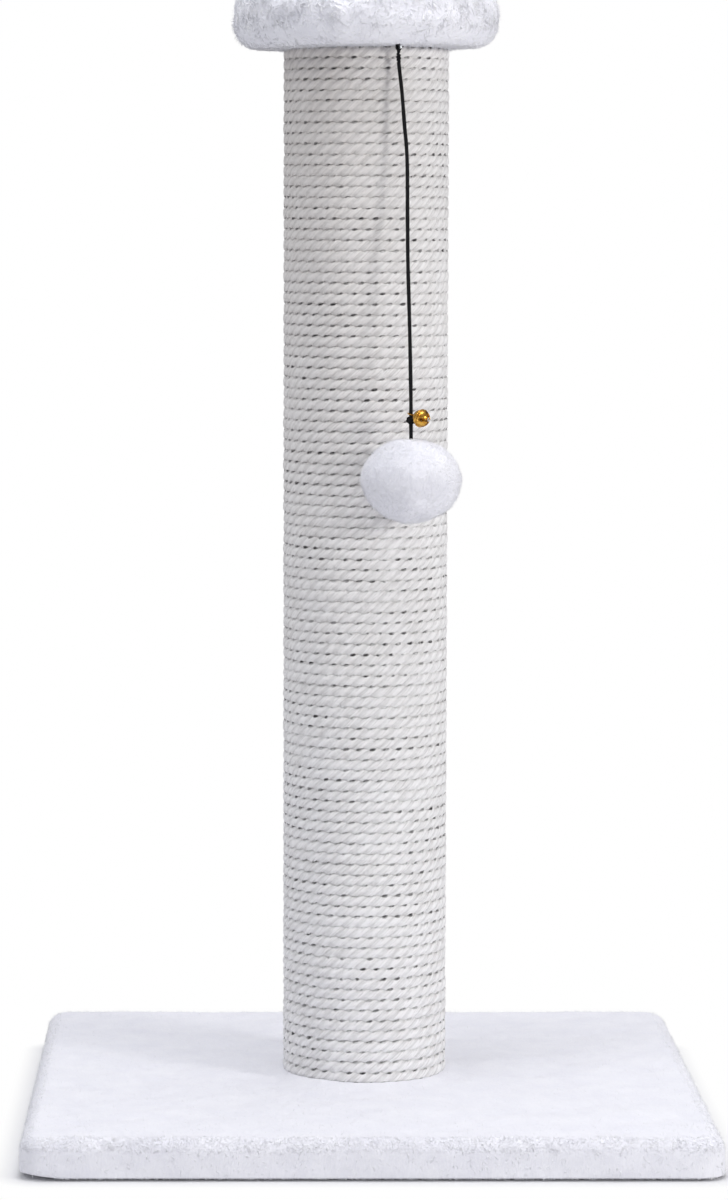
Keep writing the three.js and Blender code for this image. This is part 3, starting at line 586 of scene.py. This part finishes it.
def rope_piece(name, first, last, node):
    steps = int(round((last - first) * ROPE_STEPS))
    turn = np.linspace(first, last, steps + 1)
    angle = ROPE_START + turn * TAU
    ends = np.clip(np.minimum(turn, ROPE_TURNS - turn) / 1.5, 0, 1)
    height = ROPE_BOTTOM + ROPE_PITCH * rope_level(turn) + ends * rope_wander(turn, 0.13 * MM, 11)
    centre_radius = ROPE_CENTRE_RADIUS + ends * rope_wander(turn, 0.14 * MM, 12)
    radial = np.stack([np.cos(angle), np.sin(angle), np.zeros_like(angle)], -1)
    centre = radial * centre_radius[:, None]
    centre[:, 2] = height
    twist = TAU * turn * STRANDS_PER_TURN / STRANDS + rope_wander(turn, 0.25, 13, parallel=True)
    sides = STRANDS * len(STRAND_PROFILE)
    around = twist[:, None] + np.arange(sides) * TAU / sides
    square = (np.abs(np.cos(around)) ** ROPE_SQUASH
              + np.abs(np.sin(around)) ** ROPE_SQUASH) ** (-1 / ROPE_SQUASH)
    fullness = 1 + rope_wander(turn, 0.02, 14)[:, None]
    relief = STRAND_RELIEF_OUT + (1 - STRAND_RELIEF_OUT) * np.sin(around) ** 4
    strand_reach = 1 - (1 - np.tile(STRAND_PROFILE, STRANDS)) * relief
    reach = strand_reach * square * fullness
    out = np.cos(around) * reach * ROPE_DEPTH
    up = np.sin(around) * reach * ROPE_HEIGHT
    points = centre[:, None] + out[..., None] * radial[:, None] + up[..., None] * np.array([0, 0, 1])
    piece = rows_piece(name, points, FINISHES["rope"], "stand", capped=True)

    strand_count = np.repeat((twist / TAU - 0.25) * STRANDS, sides)
    # Random strength of the painted gap shade for each turn, kept as the "open" attribute.
    gap_shade_rows = np.repeat(np.clip(0.6 + rope_wander(turn, 0.45, 15), 0, 1), sides)
    for attribute, values in (("rise", up / (ROPE_PITCH / 2)), ("strand_count", strand_count),
                              ("open", gap_shade_rows)):
        made = piece.data.attributes.new(attribute, "FLOAT", "POINT")
        made.data.foreach_set("value", values.ravel().astype(np.float32))

    strand = piece.data.uv_layers.new(name="strand")
    corner_vertex = np.empty(len(piece.data.loops), np.int32)
    piece.data.loops.foreach_get("vertex_index", corner_vertex)
    across = np.tile(np.arange(sides) / sides, len(turn))
    along = np.repeat(turn * STRANDS_PER_TURN / STRANDS, sides)
    flat = np.stack([across, along], -1)[corner_vertex].astype(np.float32)
    strand.data.foreach_set("uv", flat.ravel())
    if node:
        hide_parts(node)


for settings in ROPE_PIECES:
    rope_piece(*settings)

# ----- Plush: covers as closed shells of rows of points, and pile on them -----

ABOVE_FLOOR = 0.3 * MM
LOCK_ROOT = 0.4 * MM                # its depth in the skin
HAIR_ROOT = 0.3 * MM
CORNER_ANGLES = (0, TAU / 3, 2 * TAU / 3)   # of a lock's or a hair's section
LOCK_FACES = ((0, 1, 4, 3), (1, 2, 5, 4), (2, 0, 3, 5), (3, 4, 6), (4, 5, 6), (5, 3, 6), (2, 1, 0))
HAIR_FACES = ((0, 1, 3), (1, 2, 3), (2, 0, 3), (2, 1, 0))


def shell(name, rows, body, node, lump, lumpy_rows):
    """A closed shell through rows of points. lump gives how far the points of the lumpy rows move
    from their places and normals."""
    columns = len(rows[0])
    piece = rows_piece(name, rows, FINISHES["plush"], None)

    def add_lumps(mesh):
        mesh.normal_update()
        moved = [v for v in mesh.verts if lumpy_rows[0] <= v.index // columns < lumpy_rows[1]]
        offsets = lump(np.array([v.co for v in moved]), np.array([v.normal for v in moved]))
        for vertex, offset in zip(moved, offsets):
            vertex.co += Vector(offset)

    weld(piece, add_lumps)
    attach(piece, body)
    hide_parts(node)
    return piece


def threes(items, name, kind=float):
    """What a mesh keeps under a name for each of its items, three values to one."""
    values = np.empty(len(items) * 3, kind)
    items.foreach_get(name, values)
    return values.reshape(-1, 3)


def roots_on(piece, wanted, count, seed):
    """Random places with their normals on the faces that wanted keeps."""
    mesh = piece.data
    mesh.calc_loop_triangles()
    triangles = threes(mesh.loop_triangles, "vertices", np.int32)
    normals = threes(mesh.vertices, "normal")
    corners = threes(mesh.vertices, "co")[triangles]
    face_normal = np.cross(corners[:, 1] - corners[:, 0], corners[:, 2] - corners[:, 0])
    area = np.linalg.norm(face_normal, axis=1) / 2
    weight = area * wanted(corners.mean(1), unit(face_normal))
    random = np.random.default_rng(seed)
    chosen = random.choice(len(triangles), count, p=weight / weight.sum())
    u, v = random.random(count), random.random(count)
    over = u + v > 1
    u[over] = 1 - u[over]
    v[over] = 1 - v[over]
    share = np.stack([1 - u - v, u, v], -1)[..., None]
    return (corners[chosen] * share).sum(1), unit((normals[triangles[chosen]] * share).sum(1))


def along_skin(direction, normals):
    """The part of a direction that lies along the skin."""
    return direction - normals * (direction * normals).sum(-1, keepdims=True)


def section(centre, side, up, reach):
    """The three corners of a lock or a hair round a centre."""
    return [centre + reach * (side * math.cos(angle) + up * math.sin(angle))
            for angle in CORNER_ANGLES]


def hairs(name, points, tips, face_corners, body):
    """Many hairs of the same build as one piece. points lists their corners below the tips."""
    corners = np.stack(points + [tips], 1)
    first = np.arange(len(tips))[:, None] * corners.shape[1]
    faces = [first + np.array(face) for face in face_corners]
    new_piece(name, corners.reshape(-1, 3), faces, PILE, body)


def pile(name, roots, normals, comb, seed, length, width, rise, clump_size, spread):
    """Tapered locks that lean along the comb. Their tips are drawn together in clumps."""
    random = np.random.default_rng(seed)
    count = len(roots)
    comb = along_skin(comb, normals) + random.normal(size=(count, 3)) * spread
    comb = unit(along_skin(comb, normals))
    lengths = (length * random.uniform(0.65, 1.25, count))[:, None]
    lift = rise * random.uniform(0.6, 1.3, count)[:, None]
    middle = roots + comb * lengths * 0.42 + normals * lengths * lift * 0.75
    tip = roots + comb * lengths * 0.95 + normals * lengths * lift

    clumps = random.choice(count, max(4, int(count / clump_size)), replace=False)
    tree = kdtree.KDTree(len(clumps))
    for i, index in enumerate(clumps):
        tree.insert(tip[index], i)
    tree.balance()
    centres = np.array([tip[clumps[tree.find(point)[1]]] for point in tip])
    gather = random.uniform(0.35, 0.8, count)[:, None]
    reach = np.linalg.norm(centres - tip, axis=1, keepdims=True)
    gather = gather * np.clip(1.6 - reach / (0.8 * length), 0, 1)
    tip = tip + (centres - tip) * gather
    middle = middle + (centres - tip) * gather * 0.3

    tip[:, 2] = np.maximum(tip[:, 2], ABOVE_FLOOR)
    low = roots - normals * LOCK_ROOT
    side = unit(np.cross(tip - low, normals) + 1e-9)
    up = unit(np.cross(side, tip - low))
    widths = (width * random.uniform(0.7, 1.3, count))[:, None]
    points = section(low, side, up, widths / 2) + section(middle, side, up, widths * 0.8 / 2)
    hairs(name, points, tip, LOCK_FACES, "stand")


def fuzz(name, skin, wanted, count, seeds, size_mm, lean, comb=0.0, body="stand"):
    """Fine hairs that stand on the wanted faces of a skin, each a thin cone, drawn over along a
    comb. The comb is a direction, or gives one for each root. seeds are for the roots and for the
    hairs, and size_mm is a hair's length and width."""
    length, width = np.array(size_mm) * MM
    roots, normals = roots_on(skin, wanted, count, seeds[0])
    comb = np.asarray(comb(roots) if callable(comb) else comb)
    random = np.random.default_rng(seeds[1])
    along = along_skin(comb, normals)
    direction = unit(normals + along + random.normal(size=(count, 3)) * lean)
    tips = roots + direction * (length * random.uniform(0.5, 1.2, count))[:, None]
    tips[:, 2] = np.maximum(tips[:, 2], ABOVE_FLOOR)
    side = unit(np.cross(direction, [0.31, 0.17, 0.94]))
    up = np.cross(direction, side)
    points = section(roots - normals * HAIR_ROOT, side, up, width / 2)
    hairs(name, points, tips, HAIR_FACES, body)


def swirl(points, wavelength, seed):
    """A smooth random direction at each point."""
    return np.stack([waves(points, wavelength, seed + i) for i in range(3)], -1)


def plan_distance(points, place=(0, 0)):
    """Distance from a place, or from the post's axis, as seen from above."""
    return np.linalg.norm(points[:, :2] - place, axis=1)


def square_reach(points):
    """Distance from the post's axis along X or Y, whichever is more."""
    return np.maximum(abs(points[:, 0]), abs(points[:, 1]))


def lumpiness(points, seed, *sizes):
    """How far a lumpy skin stands out. Each size is a height and a length in mm."""
    return sum(height * MM * waves(points, length * MM, seed + i)
               for i, (height, length) in enumerate(sizes))


# ----- Base cover -----

BASE_SIDE = 400 * MM
BASE_CORNER = 14 * MM
BASE_BOTTOM, BASE_TOP = (corner.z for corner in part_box("base_plush_cover"))
BOARD_BOTTOM, BOARD_TOP = (corner.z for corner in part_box("base_board"))
BOARD_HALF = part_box("base_board")[1].x
BOARD_GAP = 0.3 * MM                # between a board and its cover
SKIN_DEPTH = 1.6 * MM               # of the plush's ground below the tips of its pile
FLANGE_HALF = 155 * MM
TUBE_SEAT = 42.3 * MM
BOLT_HOLE = 4.3 * MM
BASE_COLUMNS = 560
TOP_ROWS = 58                       # from the rounded edge in to the post
FOOT_RISE = 2.2 * MM                # of the plush round the post's foot
LIFTED_CORNER = (-197 * MM, -197 * MM)
CORNER_LIFT = 1.9 * MM              # of the cover's lower edge off the floor there


def arc(steps, degrees=90):
    """Sine and 1 - cosine of angles in equal steps up from 0."""
    angles = [math.radians(degrees * i / steps) for i in range(steps + 1)]
    return [(math.sin(a), 1 - math.cos(a)) for a in angles]


def square_row(half, corner, z, circle=0.0, radius=TUBE_SEAT):
    """A rounded square at a height, drawn towards a circle by a share."""
    corner = max(corner, 0.5 * MM)
    straight = half - corner
    side = 2 * straight
    side_and_corner = side + math.pi * corner / 2
    points = []
    for i in range(BASE_COLUMNS):
        along = (i / BASE_COLUMNS) * 4 * side_and_corner
        quarter_turns = int(along // side_and_corner)
        along %= side_and_corner
        if along < side:
            x, y = along - straight, -half
        else:
            turn = (along - side) / corner
            x = straight + corner * math.sin(turn)
            y = -straight - corner * math.cos(turn)
        for _ in range(quarter_turns):
            x, y = -y, x
        points.append((x, y))
    square = np.array(points)
    angle = np.arctan2(square[:, 1], square[:, 0])
    circle_points = radius * np.stack([np.cos(angle), np.sin(angle)], -1)
    flat = square * (1 - circle) + circle_points * circle
    return np.column_stack([flat, np.full(BASE_COLUMNS, z)])


def base_cover():
    half, top = BASE_SIDE / 2 - SKIN_DEPTH, BASE_TOP - SKIN_DEPTH
    lower, upper = 1.2 * MM, 9 * MM
    rows = [square_row(FLANGE_HALF, 6 * MM, BASE_BOTTOM), square_row(180 * MM, 9 * MM, BASE_BOTTOM)]
    outer_from = len(rows)
    for sine, rise in arc(4):
        inset = lower * (1 - sine)
        rows.append(square_row(half - inset, BASE_CORNER - inset, BASE_BOTTOM + lower * rise))
    for z in np.linspace(BASE_BOTTOM + lower, top - upper, 7)[1:]:
        rows.append(square_row(half, BASE_CORNER, z))
    for sine, turn_in in arc(8)[1:]:
        inset = upper * turn_in
        rows.append(square_row(half - inset, BASE_CORNER - inset, top - upper * (1 - sine)))
    flat_half = half - upper
    for i in range(1, TOP_ROWS + 1):
        rows.append(square_row(flat_half, BASE_CORNER - upper, top, i / TOP_ROWS,
                               TUBE_SEAT + 0.6 * MM))
    outer_to = len(rows)
    for radius, height in ((TUBE_SEAT, 2.6 * MM), (TUBE_SEAT - 1 * MM, 2.3 * MM),
                           (BOLT_HOLE, 2.3 * MM), (BOLT_HOLE, BOARD_GAP)):
        rows.append(square_row(flat_half, 5 * MM, BOARD_TOP + height, 1, radius))
    cavity = BOARD_HALF + BOARD_GAP
    for side, corner, z in ((cavity, 9 * MM, BOARD_TOP + BOARD_GAP),
                            (cavity, 9 * MM, BOARD_BOTTOM - BOARD_GAP),
                            (FLANGE_HALF, 6 * MM, BOARD_BOTTOM - BOARD_GAP)):
        rows.append(square_row(side, corner, z))

    def lump(points, normals):
        seat = plan_distance(points)
        free = np.clip((seat - TUBE_SEAT) / (22 * MM), 0, 1) ** 0.5
        near_floor = ease(points[:, 2], BASE_BOTTOM, BASE_BOTTOM + 5 * MM)
        near_edge = ease(square_reach(points), 180 * MM, 192 * MM) * (points[:, 1] > -190 * MM)
        height = lumpiness(points, 21, (0.45, 46), (0.25, 15), (0.12, 6))
        moved = normals * (height * free * near_floor * (1 - 0.7 * near_edge))[:, None]
        moved[:, 2] += FOOT_RISE * (1 - ease(seat, 49 * MM, 62 * MM)) * (seat > TUBE_SEAT)
        corner = plan_distance(points, LIFTED_CORNER)
        moved[:, 2] += CORNER_LIFT * (1 - ease(corner, 2 * MM, 24 * MM)) * (1 - near_floor)
        return moved

    return shell("base_plush", rows, "stand", "base_plush_cover", lump, (outer_from, outer_to))


base_skin = base_cover()


def base_top(centres, normals):
    """The top inside its edges, clear of the post."""
    return ((normals[:, 2] > 0.9) & (centres[:, 2] > BASE_TOP - 5 * MM)
            & (plan_distance(centres) > TUBE_SEAT + 1 * MM))


def base_rim(centres, normals):
    """The upper edges, where the pile stands up, and most along the front."""
    near_edge = np.exp(-((square_reach(centres) - 195 * MM) / (5 * MM)) ** 2)
    front = np.where(centres[:, 1] < -188 * MM, 1.0, 0.06)
    return near_edge * (centres[:, 2] > 16.5 * MM) * front


def base_edge(centres, normals):
    """All the way round the upper edge."""
    return (square_reach(centres) > 190 * MM) & (centres[:, 2] > 16 * MM)


def base_side(centres, normals):
    return (abs(normals[:, 2]) < 0.6) & (centres[:, 2] > 1.0 * MM) & (centres[:, 2] < 23 * MM)


def base_hem(centres, normals):
    """The lowest part of the sides, but for the lifted corner."""
    return ((square_reach(centres) > 196 * MM) & (centres[:, 2] < BASE_BOTTOM + 1.8 * MM)
            & (normals[:, 2] < 0.3) & (plan_distance(centres, LIFTED_CORNER) > 20 * MM))


def base_pile():
    fuzz("base_pile_hem", base_skin, base_hem, 4000, (37, 57), (2.2, 0.36), 0.5, (0, 0, -2.6))
    fuzz("base_pile_top", base_skin, base_top, 14000, (31, 51), (1.5, 0.3), 1.2)
    fuzz("base_pile_edge", base_skin, base_edge, 12000, (35, 55), (1.6, 0.3), 0.9)
    fuzz("base_pile_crest", base_skin, base_rim, 8000, (36, 56), (1.9, 0.26), 0.7,
         lambda roots: swirl(roots, 12 * MM, 44) * 0.8)
    roots, normals = roots_on(base_skin, base_rim, 1500, 32)
    comb = unit(roots * [1, 1, 0]) * 0.5 + swirl(roots, 11 * MM, 44) + [0, 0, -0.15]
    pile("base_pile_rim", roots, normals, comb, 52, length=2.6 * MM, width=0.4 * MM, rise=0.06,
         clump_size=8, spread=0.6)
    fuzz("base_pile_side_fine", base_skin, base_side, 12000, (34, 54), (1.4, 0.3), 1.0)
    roots, normals = roots_on(base_skin, base_side, 3500, 33)
    comb = swirl(roots, 16 * MM, 47) * 0.8 + [0, 0, -0.9]
    pile("base_pile_side", roots, normals, comb, 53, length=3.0 * MM, width=0.5 * MM, rise=0.04,
         clump_size=8, spread=0.4)


base_pile()

# ----- Platform cover -----

PLATFORM_BOTTOM, PLATFORM_TOP = (corner.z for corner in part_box("platform_plush_cover"))
PLATFORM_RADIUS = 80 * MM
PLATFORM_OPENING = 38 * MM
FOAM_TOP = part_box("platform_foam")[1].z
PLATFORM_BOARD_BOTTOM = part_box("platform_board")[0].z
PLATFORM_BOARD_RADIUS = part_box("platform_board")[1].x
PLATFORM_COLUMNS = 240
CROWN_ROWS = 26                     # from the rim in to the middle
TOY_STAPLE = TOY_ANCHOR[:2]         # seen from above
STAPLE_DIMPLE = 2.6 * MM            # that it pulls into the underside
UNDERSIDE_SAG = 0.9 * MM            # on the left, and again next to the rope


def ring_row(radius, z, columns=PLATFORM_COLUMNS):
    angle = np.arange(columns) * TAU / columns
    return np.stack([radius * np.cos(angle), radius * np.sin(angle), np.full(columns, z)], -1)


def platform_cover():
    radius = PLATFORM_RADIUS - 2.5 * MM
    top, bottom = PLATFORM_TOP - 2.2 * MM, PLATFORM_BOTTOM + 1.0 * MM
    lower, upper_in, upper_down, crown = 12.5 * MM, 13 * MM, 22 * MM, 3 * MM
    profile = [(PLATFORM_OPENING, PLATFORM_BOARD_BOTTOM - BOARD_GAP),
               (PLATFORM_OPENING, PLATFORM_BOARD_BOTTOM - 2.3 * MM),
               (TUBE_SEAT - 0.3 * MM, PLATFORM_BOARD_BOTTOM - 2.4 * MM),
               (TUBE_SEAT + 0.4 * MM, bottom)]
    outer_from = len(profile)
    for r in np.linspace(TUBE_SEAT + 2 * MM, radius - lower, 12):
        profile.append((r, bottom))
    for sine, rise in arc(12)[1:]:
        profile.append((radius - lower + lower * sine, bottom + lower * rise))
    rim = top - crown
    for z in np.linspace(bottom + lower, rim - upper_down, 4)[1:]:
        profile.append((radius, z))
    for sine, turn_in in arc(12, 86)[1:]:
        profile.append((radius - upper_in * turn_in, rim - upper_down * (1 - sine)))
    edge_r, edge_z = profile[-1]
    for i in range(1, CROWN_ROWS + 1):
        r = edge_r * (1 - i / CROWN_ROWS)
        profile.append((r, edge_z + (top - edge_z) * (1 - (r / edge_r) ** 2)))
    outer_to = len(profile)
    inside = PLATFORM_BOARD_RADIUS + BOARD_GAP
    profile += [(0, FOAM_TOP + BOARD_GAP), (inside - 8 * MM, FOAM_TOP - 2.6 * MM),
                (inside, FOAM_TOP - 9 * MM), (inside, PLATFORM_BOARD_BOTTOM - BOARD_GAP)]
    rows = [ring_row(r, z) for r, z in profile]

    def lump(points, normals):
        reach = plan_distance(points)
        side = ease(points[:, 2], PLATFORM_BOTTOM, PLATFORM_BOTTOM + 24 * MM) * 0.9 + 0.1
        free = np.clip((reach - TUBE_SEAT) / (14 * MM), 0, 1)
        free = np.where(points[:, 2] > PLATFORM_BOTTOM + 20 * MM, 1, free)
        height = lumpiness(points, 61, (1.3, 34), (0.9, 14), (0.4, 7))
        moved = normals * (height * side * free)[:, None]
        sag = ease(-points[:, 0], 20 * MM, 60 * MM) + 1 - ease(reach, 48 * MM, 54 * MM)
        moved[:, 2] -= UNDERSIDE_SAG * sag * (1 - side)
        under = (normals[:, 2] < -0.3) & (points[:, 2] < PLATFORM_BOTTOM + 4 * MM)
        staple = plan_distance(points, TOY_STAPLE)
        moved[:, 2] += np.exp(-(staple / (4.2 * MM)) ** 2) * STAPLE_DIMPLE * under
        return moved

    return shell("platform_plush", rows, "stand", "platform_plush_cover", lump,
                 (outer_from, outer_to))


platform_skin = platform_cover()


def platform_outside(centres, normals):
    """All that shows, but for the staple's dimple and the part next to the rope."""
    reach, height = plan_distance(centres), centres[:, 2]
    side = reach > PLATFORM_BOARD_RADIUS + 1 * MM
    above = (normals[:, 2] > 0.2) & (height > FOAM_TOP)
    under = (normals[:, 2] < -0.3) & (height < PLATFORM_BOTTOM + 6 * MM) & (reach > 50 * MM)
    density = np.where(height < PLATFORM_BOTTOM + 9 * MM, 0.5, 1.0)
    return (side | above | under) * density * (plan_distance(centres, TOY_STAPLE) > 7 * MM)


def platform_hem(centres, normals):
    """Where the underside meets the rope, clear of the toy's staple."""
    reach = plan_distance(centres)
    return ((normals[:, 2] < -0.3) & (reach > 49.2 * MM) & (reach < 53 * MM)
            & (plan_distance(centres, TOY_STAPLE) > 8 * MM))


def platform_comb(roots):
    """Swirled above, and drawn to one side and up along the lower edge."""
    high = ease(roots[:, 2], PLATFORM_BOTTOM + 8 * MM, PLATFORM_BOTTOM + 14 * MM)[:, None]
    return swirl(roots, 15 * MM, 81) * 1.8 * high + (1 - high) * [3.5, 0, 2.0]


def platform_pile():
    fuzz("platform_pile_hem", platform_skin, platform_hem, 1800, (73, 94), (2.0, 0.36), 0.5,
         (0, 0, -1.5))
    roots, normals = roots_on(platform_skin, platform_outside, 12000, 71)
    low = np.clip(1 - (roots[:, 2] - PLATFORM_BOTTOM) / (16 * MM), 0, 1)[:, None]
    comb = swirl(roots, 17 * MM, 81) + np.array([0.2, 0, 0.1])
    comb = comb * (1 - low) + (unit(roots * [1, 1, 0]) * -0.8 + [0.5, 0, 0.2]) * low
    high = roots[:, 2] > PLATFORM_BOTTOM + 11 * MM
    for name, part, seed, length, rise, clump_size, spread in (
            ("platform_pile", high, 91, 4.6 * MM, 0.08, 10, 0.5),
            ("platform_pile_low", ~high, 92, 3.6 * MM, 0.05, 8, 0.3)):
        pile(name, roots[part], normals[part], comb[part], seed, length, 0.5 * MM, rise,
             clump_size, spread)
    fuzz("platform_fuzz", platform_skin, platform_outside, 15000, (72, 93), (2.8, 0.36), 0.5,
         platform_comb)


platform_pile()

# ----- Ball cover -----

BALL_HALF_WIDTH, BALL_HALF_HEIGHT = 29.25 * MM, 25.25 * MM
BALL_COLUMNS = 120
OUTER_STEPS = 56


def facing(direction, side):
    """The turn that takes +Z to a direction, with +Y leaning to a second one."""
    z = Vector(direction).normalized()
    y = (Vector(side) - z * Vector(side).dot(z)).normalized()
    x = y.cross(z)
    return Matrix((x, y, z)).transposed()


BALL_TURN = np.array(facing(-CORD_DIRECTION, OUTWARD))


def ball_row(radius, z):
    return BALL_CENTRE + ring_row(radius, z, BALL_COLUMNS) @ BALL_TURN.T


def ball_cover():
    skin, wall, channel = 0.6 * MM, 2.0 * MM, 1.5 * MM
    rows = []
    for depth, steps, order in ((skin, OUTER_STEPS, 1), (skin + wall, 14, -1)):
        half_width, half_height = BALL_HALF_WIDTH - depth, BALL_HALF_HEIGHT - depth
        part = []
        for a in np.linspace(-math.pi / 2, math.acos(channel / half_width), steps + 1):
            dent = 1.0 * MM * math.exp(-((math.pi / 2 - a) / 0.2) ** 2)
            radius = half_width * math.cos(a) if part else 0
            part.append(ball_row(radius, half_height * math.sin(a) - dent))
        rows += part[::order]

    def lump(points, normals):
        offset = (points - BALL_CENTRE) @ BALL_TURN
        top = offset[:, 2] / BALL_HALF_HEIGHT
        free = np.clip((1 - top) / 0.12, 0, 1)
        height = lumpiness(points, 101, (0.55, 26), (0.25, 11))
        return normals * (height * free)[:, None]

    return shell("ball_plush", rows, "toy_ball", "ball_plush_cover", lump, (0, OUTER_STEPS + 1))


ball_skin = ball_cover()


def ball_outside(centres, normals):
    """All that shows, clear of the cord."""
    offset = centres - BALL_CENTRE
    outward = (unit(offset) * normals).sum(1) > 0.2
    neck = np.linalg.norm(offset - (offset @ CORD_DIRECTION)[:, None] * CORD_DIRECTION, axis=1)
    return outward * (neck > 2.2 * MM)


fuzz("ball_pile", ball_skin, ball_outside, 22000, (111, 131), (1.3, 0.28), 0.9, body="toy_ball")

# ----- Bell -----

BELL_EYE = TOY_ANCHOR + np.array([7.17, -19, -211.5]) * MM
BELL_CENTRE = TOY_ANCHOR + np.array([13.03, -23.4, -213.6]) * MM
BELL_RADIUS = 5.1 * MM
BELL_WALL = 0.45 * MM
BELL_COLUMNS = 48
SLOT_SIZE = (8.4 * MM, 1.3 * MM, 7.6 * MM, 1)
SLOT_END = 4.1 * MM
SLOT_END_RADIUS = 1.15 * MM
BELL_TURN = np.array(facing(BELL_EYE - BELL_CENTRE, CORD_DIRECTION))


def bell_half(name, node, upper):
    """Half a bell with a rolled rim. The upper half has an opening for the eye."""
    opening = 0.8 * MM if upper else 0.0
    sign = 1 if upper else -1
    inner = BELL_RADIUS - BELL_WALL
    profile = [(BELL_RADIUS * math.cos(a), sign * BELL_RADIUS * math.sin(a))
               for a in np.linspace(0.2, math.pi / 2, 14)]
    profile[-1] = (opening, profile[-1][1])
    profile.append((opening, sign * inner))
    profile += [(max(inner * math.cos(a), opening), sign * inner * math.sin(a))
                for a in np.linspace(math.pi / 2, 0.04, 10)[1:]]
    rim = 0.42 * MM
    profile += [(BELL_RADIUS + rim * math.cos(a) - 0.1 * MM, sign * (0.55 * MM + rim * math.sin(a)))
                for a in np.linspace(-math.pi / 2, math.pi / 2, 7)]
    rows = [BELL_CENTRE + ring_row(radius, z, BELL_COLUMNS) @ BELL_TURN.T for radius, z in profile]
    piece = rows_piece(name, rows, FINISHES["gold"], None)
    weld(piece)
    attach(piece, "bell")
    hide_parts(node)
    return piece


def cut(piece, shape, **settings):
    """Takes a shape, made in the bell's own frame, away from a piece."""
    cutter = bmesh.new()
    shape(cutter, **settings)
    mesh = bpy.data.meshes.new("cutter")
    cutter.to_mesh(mesh)
    cutter.free()
    tool = in_scene("cutter", mesh)
    tool.matrix_world = Matrix.Translation(BELL_CENTRE) @ Matrix(BELL_TURN.tolist()).to_4x4()
    difference = piece.modifiers.new("cut", "BOOLEAN")
    difference.operation = "DIFFERENCE"
    difference.object = tool
    difference.solver = "EXACT"
    bpy.context.view_layer.update()
    graph = bpy.context.evaluated_depsgraph_get()
    result = bpy.data.meshes.new_from_object(piece.evaluated_get(graph))
    piece.modifiers.clear()
    piece.data = result
    bpy.data.objects.remove(tool)


def cut_slots(piece):
    """Cuts two crossed slots, with a round hole at each end, through the lower half."""
    for quarter in (0, 1):
        turn = Matrix.Rotation(quarter * math.pi / 2, 4, "Z")
        down = Matrix.Translation((0, 0, -BELL_RADIUS))
        cut(piece, bmesh.ops.create_cube, size=1, matrix=turn @ down @ Matrix.Diagonal(SLOT_SIZE))
        for end in (-SLOT_END, SLOT_END):
            place = turn @ Matrix.Translation((end, 0, -BELL_RADIUS))
            cut(piece, bmesh.ops.create_cone, cap_ends=True, segments=20, radius1=SLOT_END_RADIUS,
                radius2=SLOT_END_RADIUS, depth=8 * MM, matrix=place)


bell_half("bell_upper", "bell_upper_shell", True)
cut_slots(bell_half("bell_lower", "bell_lower_shell", False))

# ----- Floor, light -----

WHITE = (1, 1, 1, 1)
SKY_COLOUR = (0.94, 0.95, 1.0, 1)
SKY_STRENGTH = 0.44
FLOOR_HALF = 20
SHADOW_HALF = (0.185, 0.185, 0)     # the shadow shows in full within this
SHADOW_FADE = (0.011, 0.032)        # and fades between these distances beyond it


def floor():
    """White to the camera, and with the object's shadow only near the base."""
    points = [(x * FLOOR_HALF, y * FLOOR_HALF, 0) for x, y in ((-1, -1), (1, -1), (1, 1), (-1, 1))]
    finish = Finish("floor", Roughness=0.9, Base_Color=(0.76, 0.76, 0.77, 1))

    def vector(operation, *values, output=0):
        made = finish.node("VectorMath", dict(enumerate(values)), operation=operation)
        return made.outputs[output]

    beyond = vector("SUBTRACT", vector("ABSOLUTE", finish.place()), SHADOW_HALF)
    away = vector("LENGTH", vector("MAXIMUM", beyond, (0, 0, 0)), output="Value")
    fade = finish.spread(away, *SHADOW_FADE, smooth=True)
    path = finish.node("LightPath").outputs
    seen = finish.maths("MULTIPLY", path["Is Camera Ray"], fade)
    mirrored = finish.maths("MAXIMUM", path["Is Glossy Ray"], path["Is Transmission Ray"])
    share = finish.maths("MAXIMUM", seen, finish.maths("MULTIPLY", mirrored, 0.8))
    glow = finish.node("Emission", {"Color": WHITE, "Strength": 1.0}).outputs[0]
    blend = finish.node("MixShader", {0: share, 1: finish.shader.outputs[0], 2: glow})
    finish.tree.links.new(blend.outputs[0], finish.tree.nodes["Material Output"].inputs[0])
    made = new_piece("floor", points, [[(0, 1, 2, 3)]], finish.material, None)
    made.location.z = -0.1 * MM


def world():
    """White to the camera, and a cool grey light on the object."""
    sky = bpy.data.worlds.new("studio")
    bpy.context.scene.world = sky
    sky.use_nodes = True
    nodes, links = sky.node_tree.nodes, sky.node_tree.links
    mix = nodes.new("ShaderNodeMixShader")
    seen = nodes.new("ShaderNodeBackground")
    for background, colour, strength, way in ((nodes["Background"], SKY_COLOUR, SKY_STRENGTH, 1),
                                              (seen, WHITE, 1.0, 2)):
        background.inputs["Color"].default_value = colour
        background.inputs["Strength"].default_value = strength
        links.new(background.outputs[0], mix.inputs[way])
    links.new(nodes.new("ShaderNodeLightPath").outputs["Is Camera Ray"], mix.inputs[0])
    links.new(mix.outputs[0], nodes["World Output"].inputs[0])


def lamp(name, place, target, size, power, colour):
    data = bpy.data.lights.new(name, "AREA")
    data.shape = "DISK"
    data.size = size
    data.energy = power
    data.color = colour
    made = in_scene(name, data)
    made.location = place
    made.rotation_euler = (Vector(target) - Vector(place)).to_track_quat("-Z", "Y").to_euler()


floor()
world()
lamp("key", (2.0, -1.6, 0.95), (0, 0, 0.3), 0.6, 24.5, (1.0, 0.985, 0.965))
lamp("overhead", (0.05, 0.05, 2.6), (0, 0, 0.3), 1.4, 25, (0.98, 0.98, 1.0))
lamp("left", (-1.7, -1.2, 2.2), (0, 0, 0.3), 1.6, 14, (0.96, 0.975, 1.0))
lamp("near", (0.0, -0.35, 1.4), (0, 0, 0.6), 0.5, 1.9, (0.98, 0.98, 1.0))

bpy.context.scene.view_settings.view_transform = "Standard"
